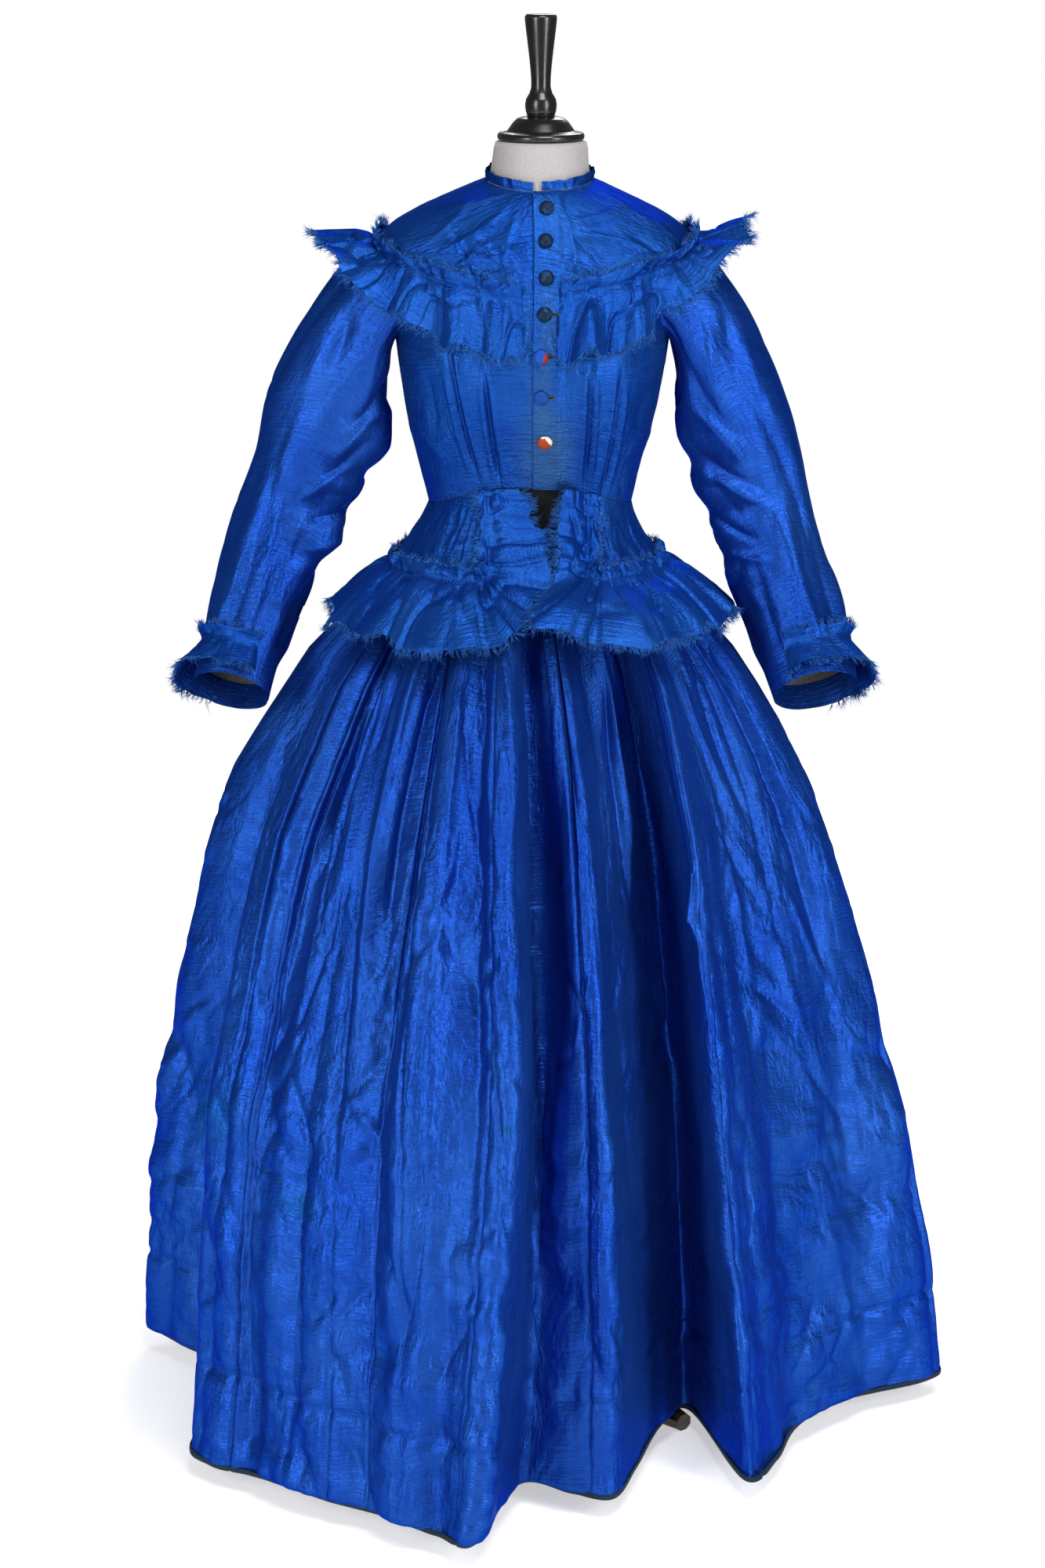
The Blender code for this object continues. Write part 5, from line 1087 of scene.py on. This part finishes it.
# creases and streaks of the skirt's front, as the picture shows them
skirtCreases = (
    (591, 862, 619, 1221, 2.6, -1.8, -5), (619, 1221, 648, 1631, 2.6, -1.5, 2),
    (577, 812, 496, 1207, 8, -6.5, -14), (478, 880, 410, 1110, 5, -9.0, -4), (600, 1010, 602, 1080, 4, -2.0, 2),
    (520, 815, 470, 960, 5, -3.0, -4), (545, 812, 505, 960, 5, 2.4, -4), (610, 822, 612, 960, 5, -3.0, 3),
    (640, 818, 650, 980, 6, 2.6, 3), (708, 836, 750, 1060, 6, -5.0, -5), (750, 1060, 788, 1504, 7, -3.0, -3),
    (772, 834, 817, 1193, 6, -5.0, -6), (821, 842, 910, 1221, 7, -5.0, -8), (860, 840, 925, 1010, 6, 3.0, -6),
    (735, 832, 760, 1000, 5, 2.6, -3), (690, 830, 700, 960, 4, -2.6, 2), (795, 842, 862, 1137, 6, 3.0, -6),
    (884, 845, 960, 1060, 6, -3.0, -6), (560, 812, 548, 900, 4, -2.0, -2), (665, 820, 672, 940, 3, -2.4, 2),
    (620, 960, 640, 1130, 4, 1.6, -3), (655, 1140, 700, 1160, 4, -1.6, 3), (430, 1130, 370, 1330, 6, -3.0, 5),
    (365, 1130, 330, 1290, 5, -2.4, 5), (390, 1180, 420, 1260, 4, 2.2, 4), (560, 1180, 500, 1290, 5, -2.2, 4),
    (690, 1190, 660, 1290, 4, -2.0, 3), (745, 1330, 690, 1380, 4, -1.6, 3), (430, 1390, 520, 1500, 5, 2.0, 5),
    (300, 1480, 400, 1520, 4, -1.8, 4), (520, 1540, 600, 1500, 5, -1.8, 4), (620, 1650, 560, 1760, 5, -2.0, -4),
    (1010, 1340, 1090, 1440, 5, -2.0, -4), (930, 1250, 1010, 1300, 4, -1.8, 4),
    (1060, 1500, 1140, 1560, 5, -2.0, 4), (960, 1680, 1040, 1640, 5, -2.0, 4),
    (880, 1120, 930, 1240, 4, -2.0, -3), (1000, 1130, 1060, 1260, 5, 2.4, -5), (660, 880, 640, 1150, 9, 2.0, 6),
    (628, 860, 600, 1130, 7, 1.5, 4), (540, 880, 512, 1040, 6, 1.6, 4), (540, 1000, 470, 1330, 10, 2.2, 8),
    (450, 1000, 380, 1330, 10, 2.0, 8), (400, 1060, 320, 1400, 10, -2.0, 8),
    (560, 1180, 540, 1500, 12, 1.8, -8), (600, 1250, 590, 1600, 11, -1.6, 6),
    (500, 1250, 470, 1650, 12, -1.8, 6), (420, 1350, 380, 1700, 12, 1.8, 6), (330, 1330, 290, 1650, 11, 1.6, 5),
    (350, 1150, 300, 1330, 8, 1.4, 5), (680, 1250, 660, 1600, 8, 1.4, -4), (720, 1000, 740, 1250, 7, 1.6, 4),
    (741, 1250, 748, 1560, 8, -1.6, 3), (716, 1300, 722, 1700, 9, 1.8, -3), (760, 1350, 764, 1700, 7, 1.4, 3),
    (840, 1000, 880, 1230, 7, 1.6, -4), (900, 1050, 960, 1330, 8, -1.8, -5), (880, 1230, 905, 1500, 8, 1.6, 3),
    (930, 1386, 961, 1639, 3, -1.4, 3), (960, 1100, 1060, 1420, 10, 1.8, -8),
    (1000, 1200, 1100, 1600, 10, -1.8, -8), (1040, 1180, 1150, 1560, 11, 1.6, -8),
    (320, 1240, 359, 1336, 4, -2.2, 3), (398, 1417, 491, 1408, 4, -1.8, -6), (626, 1327, 695, 1474, 4, -1.8, 8),
    (611, 1336, 644, 1474, 4, -1.8, 3), (689, 1198, 692, 1480, 4, -2.2, 2), (707, 1228, 749, 1312, 4, -1.6, 3),
    (731, 1360, 755, 1240, 4, 1.6, 3), (430, 1140, 470, 1250, 5, 2.0, 4), (350, 1100, 385, 1180, 5, 2.0, -3),
    (520, 1100, 500, 1180, 4, 1.8, 3), (585, 1050, 560, 1160, 5, 2.0, 4), (470, 1290, 520, 1340, 4, -1.6, 3),
    (1100, 1400, 1160, 1700, 11, -1.6, -5), (960, 1500, 1010, 1750, 9, 1.6, -4),
    (1050, 1560, 1100, 1740, 9, 1.4, -4),
)
# greenish spots where the dye has turned
skirtStains = ((275, 1421, 28, 36, 0.35), (386, 1537, 26, 17, 0.45), (645, 1442, 9, 5, 0.9),
               (700, 1108, 6, 4, 0.9), (480, 1392, 5, 3, 0.8))


skirtFall = skirtTop - hemHeight
shinRow = 54                                  # the row of the grid whose width the cloth's folds are measured on
skirtGathers = {"swell": 0.0038, "moreSwell": 0.0024, "narrow": 0.0125, "fine": 0.0012, "broad": 0.0130}
# the folds of the crisp silk: where, among which patches, depth, size across and along, degrees, seed
skirtFolds = (
    ("zone", "everywhere", 0.0130, (0.070, 0.26), 3, 131),
    ("zone", "patches", 0.0062, (0.046, 0.105), 28, 133),
    ("zone", "small", 0.0048, (0.032, 0.070), -34, 135),
    ("zone", "patches", 0.0022, (0.018, 0.034), 62, 137),
    ("low", "everywhere", 0.0055, (0.100, 0.050), 18, 139),
    ("low", "small", 0.0034, (0.056, 0.024), -10, 141),
)
facing = {"height": 0.104, "uneven": 0.004, "sink": 0.0034, "pucker": 0.0028,
          "gap": 0.0075, "stitch": 0.0032, "thick": 0.00035}
panelSeam = 0.0022                            # how far the seams between the widths draw the cloth in
panelStep = 0.7                               # each width's texture starts this far on, so that none repeats


def skirtRing():
    count = len(foldRows)
    samples = np.where(np.cos(np.radians(folds["waistTurn"])) > -0.2, 27, 13)
    starts = np.concatenate(([0], np.cumsum(samples)))
    places = np.concatenate([index - 0.5 + np.arange(samples[index]) / samples[index] for index in range(count)])
    down = np.linspace(1, 0, 206)
    lines = foldLines(down)
    height = np.broadcast_to((skirtTop - skirtFall * down)[:, None], (len(down), len(places)))
    grid = np.stack((looped(lines[..., 0], places), looped(lines[..., 1], places), height), axis=-1)
    return grid, gridNormals(grid, closed=True), places, down, starts


def skirtRelief(grid, normals, places, down):
    downs = np.broadcast_to(down[:, None], grid.shape[:2])
    across = np.broadcast_to(places[None, :], grid.shape[:2])
    up = (1 - downs) * skirtFall
    width = np.broadcast_to(lengthsAlong(closedRound(grid), 1)[shinRow, :-1], grid.shape[:2])
    # gathers run down from the waist and widen with the cloth: round ridges between narrow valleys
    gathers = softNoise(across * 1.25 + 0.4, downs * 0.7, 121)
    narrow = np.maximum(1 - np.abs(gathers) * 4.2, 0) ** 1.3
    strength = easeStep(downs, 0.05, 0.16) * (1 - 0.75 * easeStep(downs, 0.28, 0.60))
    fuller = easeStep(downs, 0.05, 0.15) * (1 - easeStep(downs, 0.30, 0.55))
    swelling = skirtGathers["swell"] + skirtGathers["moreSwell"] * fuller
    relief = swelling * gathers - skirtGathers["narrow"] * narrow * strength
    fine = skirtGathers["fine"] * softNoise(across * 3.3 + 7, downs * 1.8, 122)
    relief = relief + fine * (1 - easeStep(downs, 0.2, 0.45))
    at = {"zone": easeStep(downs, 0.12, 0.42), "low": easeStep(downs, 0.45, 0.85)}
    relief = relief + at["zone"] * skirtGathers["broad"] * softNoise(across * 0.95 + 0.3, downs * 0.8, 128)
    # long folds, then crumpled patches between smoother ones
    among = {"everywhere": 1.0,
             "patches": 0.35 + 0.65 * easeStep(softNoise(width / 0.11, up / 0.16, 126), -0.35, 0.25),
             "small": 0.25 + 0.75 * easeStep(softNoise(width / 0.08, up / 0.09, 127), -0.25, 0.30)}
    for where, which, depth, size, turn, seed in skirtFolds:
        relief = relief + at[where] * depth * among[which] * sharpFolds(width, up, size, turn, seed)
    # calmer where the outline shows it
    calm = 1 - 0.70 * (1 - easeStep(np.abs(normals[..., 1]), 0.05, 0.55)) * easeStep(downs, 0.1, 0.3)
    seen = easeStep(-normals[..., 1], -0.05, 0.15)
    relief = (relief + creaseRelief(*picturePlace(grid), skirtCreases) * 1.9 * seen) * calm
    # the facing's row of stitches a hand above the hem puckers the silk
    line = up - facing["height"] - facing["uneven"] * softNoise(width / 0.2, 0 * up, 151)
    relief = relief - facing["sink"] * np.exp(-(line / 0.0048) ** 2) * calm
    pucker = facing["pucker"] * softNoise(width / 0.014, up / 0.04, 152)
    relief = relief + pucker * np.exp(-(line / 0.020) ** 2) * calm
    relief = relief + 0.0008 * softNoise(width / 0.02, up / 0.02, 153) * (1 - easeStep(up, 0.01, 0.05))
    return relief * easeStep(up, 0.0, 0.006) + 0.0006 * easeStep(up, 0.0, 0.006)


def stitchesAlong(name, line, normals, gap, length, thick, finish):
    # running stitches: short flat bars that lie on the cloth, every so far along a line
    steps = stepsAlong(line)
    at = np.arange(gap, steps[-1] - length, gap)
    first, last = readAlong(line, at, steps), readAlong(line, at + length, steps)
    up = unit(readAlong(normals, at, steps))
    side = unit(np.cross(last - first, up)) * thick
    top = (first + last) / 2 + up * thick * 2
    corners = np.stack((first - up * thick, last - up * thick, top + side, top - side), axis=1).reshape(-1, 3)
    index = np.arange(len(at) * 4).reshape(-1, 4)
    faces = np.concatenate([index[:, list(order)] for order in ((0, 2, 1), (0, 1, 3), (0, 3, 2), (1, 2, 3))])
    return meshOf(name, corners, [faces], finish)


def buildSkirt():
    grid, normals, places, down, starts = skirtRing()
    relief = skirtRelief(grid, normals, places, down)
    stains = stainsAt(*picturePlace(grid), skirtStains) * easeStep(-normals[..., 1], 0.0, 0.2)
    edges = [i for i in range(len(foldPanels)) if foldPanels[i] != foldPanels[i - 1]]
    total = grid.shape[1]
    for edge in edges:
        for k in range(-2, 3):
            relief[:, (starts[edge] + k) % total] -= panelSeam * math.exp(-k ** 2)
    grid = grid + normals * relief[..., None]
    for number, edge in enumerate(edges):
        end = edges[(number + 1) % len(edges)]
        last = starts[end] if end > edge else total + starts[end]
        chosen = np.arange(starts[edge], last + 1) % total
        clothPiece(foldPanels[edge], grid[:, chosen], taffeta, start=panelStep * number,
                   stains=stains[:, chosen])
    row = int(np.argmin(np.abs((1 - down) * skirtFall - facing["height"])))
    stitchesAlong("facingStitches", grid[row], normals[row], facing["gap"], facing["stitch"], facing["thick"],
                  sewingSilk)
    low, above = grid[0], grid[3]
    way = unit(above - low)
    out = normals[0] * (clothWall * 0.5 + seamGap)
    rings = [low + way * rise + out * reach for rise, reach in braidSection]
    clothPiece("hemBinding", np.array(rings), hemBraid, closed=True)


# the braid's cross-section, from inside the hem round its edge and up outside: rise, and share of the wall
braidSection = ((-0.0008, 0.2), (-0.0012, 0.8), (0.0012, 1.5), (0.0030, 1.5), (0.0046, 1.0))
buildSkirt()


# the black waist tape: partly its own colour, partly painted shade for the dark gap between the peplum's parted
# fronts
def buildWaistband():
    turn = evenTurns(96)[None, :]
    share = np.linspace(1, 0, 6)[:, None]
    top = bodyPoint(turn, np.zeros_like(turn))
    grid = top - outAt(turn) * (clothWall + bandEase)
    grid = np.broadcast_to(grid, share.shape[:1] + top.shape[1:]).copy()
    grid[..., 2] = top[..., 2] - 0.0008 + (waistBandLow - top[..., 2]) * share
    return clothPiece("waistTape", grid, blackTapeAndShade, ("waistband",), closed=True)


buildWaistband()
print("skirt made")


# buttons

buttonRows = ((1.368, 0.006), (1.334, 0.005), (1.298, 0.006), (1.261, 0.004), (1.217, 0.000), (1.172, 0.000),
              (1.116, 0.004))                                   # height and x, from the neck down
buttonSize = {"radius": 0.0080, "rise": 0.0055, "pleats": 7, "pleatDepth": 0.02}
buttonProfile = ((0.55, 0.0), (0.97, 0.06), (1.03, 0.22), (0.98, 0.42), (0.84, 0.68), (0.62, 0.86), (0.36, 0.96),
                 (0.14, 1.0))                                   # shares of the radius and the rise


def buttonSilk(name, baseHex, wearAndHighlightHex, amount, seat=(0, 0, 0), lean=(0, 0, 0)):
    # silk covering worn through on the crown, so patches of the cloth below show, 8 mm across at most; on the
    # last button the crown is worn to terracotta and the pale patch is a painted highlight
    finish, tree, shader = newFinish(name, {"Roughness": 0.45, "Specular IOR Level": 0.12})
    places = addNode(tree, "ShaderNodeTexCoord").outputs["Object"]
    patches = addNode(tree, "ShaderNodeTexNoise", {"Scale": 130.0, "Detail": 3.0}, {"Vector": places})
    fine = addNode(tree, "ShaderNodeTexNoise", {"Scale": 1400.0, "Detail": 1.0}, {"Vector": places})
    away = addNode(tree, "ShaderNodeVectorMath", {"operation": "SUBTRACT", 1: seat}, {0: places})
    aside = addNode(tree, "ShaderNodeVectorMath", {"operation": "DOT_PRODUCT", 1: lean}, {0: away})
    share = addNode(tree, "ShaderNodeMath", {"operation": "ADD"}, {0: patches, 1: aside.outputs["Value"]})
    colour = addNode(tree, "ShaderNodeValToRGB", {"stops": ((0.62 - amount, baseHex), (0.66 - amount, wearAndHighlightHex))},
                     {"Fac": share})
    bump = addNode(tree, "ShaderNodeBump", {"Strength": 0.5, "Distance": 0.0002}, {"Height": fine})
    joinTo(shader, {"Base Color": colour, "Normal": bump})
    return finish


darkButton = buttonSilk("silk button cover, slate", "0A2038", "14385A", 0.05)
wornButton = buttonSilk("silk button cover, worn to the red below", "14459A", "7C2614", 0.02,
                        (0.0020, 0, 1.216), (60, 0, -20))
blueButton = buttonSilk("silk button cover, blue", "103C86", "18509E", 0.05)
# the last button: worn to terracotta, with a painted highlight in pale grey towards its upper right
lastButtonWithHighlight = buttonSilk("silk button cover, worn terracotta, with painted highlight", "8E3A1E", "D0C4BC", -0.30,
                        (0.004, 0, 1.116), (26, 0, 38))
buttonFinishes = (darkButton,) * 4 + (wornButton, blueButton, lastButtonWithHighlight)


def frontSeat(height, x):
    # a place on the bodice's front, the way out of it, and the ways across and up on it
    level = np.interp(height, body["height"], np.arange(len(body["height"])))
    turn = turnAtX(bodyPoint, x, level, 30.0)
    normal = bodyOut(turn, level)
    across = unit(np.cross(np.array((0.0, 0.0, 1.0)), normal))
    return bodyPoint(turn, level), normal, across, np.cross(normal, across)


def buildButtons():
    sides = 32
    angle = 2 * np.pi * np.arange(sides) / sides
    for number, ((height, x), finish) in enumerate(zip(buttonRows, buttonFinishes), 1):
        seat, normal, across, up = frontSeat(height, x)
        seat = seat + normal * (lapRise + seamGap)
        around = across * np.cos(angle)[:, None] + up * np.sin(angle)[:, None]
        rings = []
        for radius, rise in buttonProfile:
            pleat = 1 + buttonSize["pleatDepth"] * np.sin(angle * buttonSize["pleats"] + rise * 2) * (rise < 0.5)
            rings.append(seat + around * (radius * buttonSize["radius"] * pleat)[:, None]
                         + normal * rise * buttonSize["rise"])
        points = np.concatenate(rings + [[seat + normal * buttonSize["rise"] * 1.01]])
        index, after, quads = tubeFaces(len(buttonProfile), sides)
        fan = fanFaces(index[-1], after[-1], len(points) - 1)
        meshOf(f"button{number}", points, [quads, fan], finish, (f"button_{number}",))


buildButtons()


# worked in buttonhole stitch: a ring of twist round a slit, beside the buttons that show theirs; the slit is a
# black disc of painted shade
buttonhole = {"half": 0.0058, "wide": 0.0013, "stitch": 0.00045, "stitches": 34, "from": 0.0088}
stitchProfile = ((-0.9, 0.1), (-0.5, 0.9), (0.5, 0.9), (1.0, 0.0))      # across the ring of twist, and how high


def buildButtonholes():
    count, stitch = buttonhole["stitches"], buttonhole["stitch"]
    angle = 2 * np.pi * np.arange(count) / count
    rough = 1 + 0.25 * np.cos(angle * count / 2)
    index, after, quads = tubeFaces(len(stitchProfile), count)
    for number, (height, x) in list(enumerate(buttonRows, 1))[3:]:
        seat, normal, across, up = frontSeat(height, x + buttonhole["from"])
        seat = seat + normal * (lapAt(x + buttonhole["from"]) + 0.0004)
        ring = (seat + across * (np.cos(angle) * buttonhole["half"])[:, None]
                + up * (signedPower(np.sin(angle), 0.7) * buttonhole["wide"])[:, None])
        way = unit(ring - seat)
        rows = [ring + way * lay * stitch * 1.6 + normal * (rise * stitch * rough)[:, None]
                for lay, rise in stitchProfile]
        meshOf(f"buttonhole{number}", np.concatenate(rows), [quads[:, ::-1]], buttonholeSilk)
        # painted shade: a black disc on the cloth inside the ring of twist stands for the dark of the slit
        slit = np.concatenate((rows[0], [seat + normal * 0.0001]))
        meshOf(f"buttonholeSlitShade{number}", slit, [fanFaces(index[0], after[0], count)], blackTapeAndShade)


buildButtonholes()
print("buttons made")


# the form and its stand

formRings = tableOf(("level", "ease"), {
    "waist": (0.00, 0.0044), "ribs": (1.20, 0.0030), "underBust": (2.40, 0.0020), "bust": (3.45, 0.0021),
    "armpit": (4.25, 0.0024), "chest": (4.75, 0.0026), "highChest": (5.25, 0.0028),
    "shoulder": (6.05, 0.0030), "slope": (7.20, 0.0028), "slopeHigh": (8.60, 0.0019), "neckline": (10.0, 0.0009),
})
formNeck = {"slope": ((0.005, 0.0042), (0.014, 0.0058)), "top": 1.4360,
            "round": ((1.4290, 0.0510), (1.4345, 0.0496), (1.4360, 0.0465))}


formHips = ((0.8, 0.126, 0.090, 0.098), (0.86, 0.134, 0.098, 0.106), (0.93, 0.122, 0.089, 0.092),
            (0.985, 0.1055, 0.0770, 0.0690))                    # height, half width, front and back


def closedLathe(name, rings, finish, nodes):
    # rings of points from the foot up, closed at both ends
    rings = np.array(rings)
    count, sides = rings.shape[:2]
    index, after, quads = tubeFaces(count, sides)
    points = np.concatenate((rings.reshape(-1, 3), [rings[0].mean(axis=0), rings[-1].mean(axis=0)]))
    caps = np.concatenate((fanFaces(after[0], index[0], count * sides),
                           fanFaces(index[-1], after[-1], count * sides + 1)))
    return meshOf(name, points, [quads, caps], finish, nodes)


def buildForm():
    turns = evenTurns(96)
    out = outAt(turns)
    solid = bodyPoint(turns[None, :], formRings["level"][:, None])
    inset = clothWall + formRings["ease"] + 0.0012
    rings = list(solid - gridNormals(solid, closed=True) * inset[:, None, None])
    rings += [solid[-1] - out * inset + np.array((0, 0, rise)) for rise, inset in formNeck["slope"]]
    rings += [out * radius + np.array((0, 0, height)) for height, radius in formNeck["round"]]
    s, c = np.sin(np.radians(turns)), np.cos(np.radians(turns))
    power = 2 / 2.2
    hips = [np.stack((-0.012 + halfWidth * signedPower(s, power),
                      -np.where(c > 0, front, back) * signedPower(c, power), np.full_like(s, height)), axis=-1)
            for height, halfWidth, front, back in formHips]
    return closedLathe("linenForm", hips + rings, linen, ("form_body",))


buildForm()


def turnedPiece(name, profile, base, sides, nodes):
    # a lathe-turned profile, smoothed between its turns, crisp edges kept
    profile = np.array(profile)
    place = np.linspace(0, len(profile) - 1, (len(profile) - 1) * 4 + 1)
    radius = 0.5 * curveAt(profile[:, 0], place) + 0.5 * np.interp(place, np.arange(len(profile)), profile[:, 0])
    height = np.interp(place, np.arange(len(profile)), profile[:, 1])
    angle = 2 * np.pi * np.arange(sides) / sides
    rings = [np.stack((r * np.cos(angle), r * np.sin(angle), np.full(sides, base + h)), axis=-1)
             for r, h in zip(radius, height)]
    return closedLathe(name, rings, blackWood, nodes)


capProfile = ((0.0440, 0.0000), (0.0468, 0.0018), (0.0474, 0.0052), (0.0455, 0.0082), (0.0372, 0.0098),
              (0.0340, 0.0140), (0.0300, 0.0195), (0.0255, 0.0235), (0.0190, 0.0255))
finialProfile = ((0.0148, 0.0000), (0.0166, 0.0060), (0.0172, 0.0125), (0.0160, 0.0185), (0.0125, 0.0245),
                 (0.0106, 0.0310), (0.0108, 0.0420), (0.0124, 0.0600), (0.0150, 0.0820), (0.0172, 0.1010),
                 (0.0173, 0.1055), (0.0155, 0.1080))
capRise = capProfile[-1][1]
turnedPiece("neckCap", capProfile, formNeck["top"] + seamGap, 96, ("form_neck_cap",))
turnedPiece("finial", finialProfile, formNeck["top"] + 2 * seamGap + capRise, 64, ("form_finial",))
for node in ("stand_pole", "stand_hub", "stand_leg_1", "stand_leg_2", "stand_leg_3"):
    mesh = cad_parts[node].data
    mesh.materials.clear()
    mesh.materials.append(blackWood)
print("form made")


# floor, light and camera

floorSize = {"sides": 96, "inner": 1.2, "outer": 3.0,
             "dimFrom": 0.7, "brightFrom": 2.6, "dim": 0.50, "bright": 1.0}
lights = {                        # place, target, width and height in metres, watts
    "keySoftbox": ((-2.5, -3.2, 1.75), (0, 0, 0.9), (0.9, 2.9), 100),
    "fillSoftbox": ((2.7, -2.9, 1.6), (0, 0, 0.8), (0.7, 2.7), 106),
    "topSoftbox": ((0.5, -1.6, 3.6), (0, 0, 1.0), (1.4, 0.9), 54),
    "backSoftbox": ((0.4, 2.9, 3.3), (0, 0, 0.8), (1.8, 1.6), 62),
}
studioAir = 0.15                  # strength of the even light from all round


def buildFloor():
    # matt white studio floor, lit so evenly that it runs into the white behind
    finish, tree, shader = newFinish("studio floor, matt white paint", {
        "Roughness": 0.95, "Base Color": srgb("F0F0F0"), "Specular IOR Level": 0.1,
        "Emission Color": (1.0, 1.0, 1.0, 1.0)})
    places = addNode(tree, "ShaderNodeTexCoord").outputs["Object"]
    away = addNode(tree, "ShaderNodeVectorMath", {"operation": "LENGTH"}, {0: places})
    lit = addNode(tree, "ShaderNodeMapRange", {
        "From Min": floorSize["dimFrom"], "From Max": floorSize["brightFrom"],
        "To Min": floorSize["dim"], "To Max": floorSize["bright"]}, {"Value": away.outputs["Value"]})
    joinTo(shader, {"Emission Strength": lit})
    sides = floorSize["sides"]
    angle = np.linspace(0, 2 * np.pi, sides + 1)[:-1]
    radii = (floorSize["inner"], floorSize["outer"])
    rings = [(radius * math.cos(a), radius * math.sin(a), 0.0) for radius in radii for a in angle]
    faces = [tuple(range(sides))]
    faces += [(i, i + sides, sides + (i + 1) % sides, (i + 1) % sides) for i in range(sides)]
    mesh = bpy.data.meshes.new("studioFloor")
    mesh.from_pydata(rings, [], faces)
    mesh.materials.append(finish)
    addObject("studioFloor", mesh)


def softLight(name, place, target, size, power):
    lamp = bpy.data.lights.new(name, "AREA")
    lamp.shape, lamp.size, lamp.size_y, lamp.energy = "RECTANGLE", size[0], size[1], power
    way = np.array(target) - np.array(place)
    yaw, tilt = math.atan2(way[0], way[1]), math.atan2(way[2], math.hypot(way[0], way[1]))
    stand = addObject(name, lamp)
    stand.location, stand.rotation_euler = place, (math.pi / 2 + tilt, 0, -yaw)


def buildWorld():
    # a dim even light on the gown, and plain white where the view sees past everything
    world = bpy.data.worlds.new("studio")
    bpy.context.scene.world = world
    world.use_nodes = True
    tree = world.node_tree
    background = tree.nodes["Background"]
    background.inputs["Color"].default_value = (1, 1, 1, 1)
    background.inputs["Strength"].default_value = studioAir
    white = addNode(tree, "ShaderNodeBackground", {"Color": (1, 1, 1, 1), "Strength": 1.0})
    seen = addNode(tree, "ShaderNodeLightPath").outputs["Is Camera Ray"]
    mix = addNode(tree, "ShaderNodeMixShader", {}, {0: seen, 1: background, 2: white})
    joinTo(tree.nodes["World Output"], {"Surface": mix})


def buildCamera():
    view = bpy.data.cameras.new("camera")
    camera = addObject("camera", view)
    camera.location = (axisShift[0], -picture["distance"] + axisShift[1], picture["height"])
    camera.rotation_euler = (math.radians(90 - picture["pitch"]), 0, 0)
    view.lens = picture["focal"] * picture["film"] / picture["tall"]
    view.shift_x = (picture["wide"] / 2 - picture["middleX"]) / picture["tall"]
    bpy.context.scene.camera = camera
    bpy.context.scene.view_settings.view_transform = "Standard"


buildFloor()
for name, settings in lights.items():
    softLight(name, *settings)
buildWorld()
buildCamera()
print("stage made")


triangles = {name: sum(len(p.vertices) - 2 for p in piece.data.polygons) for name, piece in made.items()}
print("triangles", sum(triangles.values()), "most", max(triangles.items(), key=lambda item: item[1]))
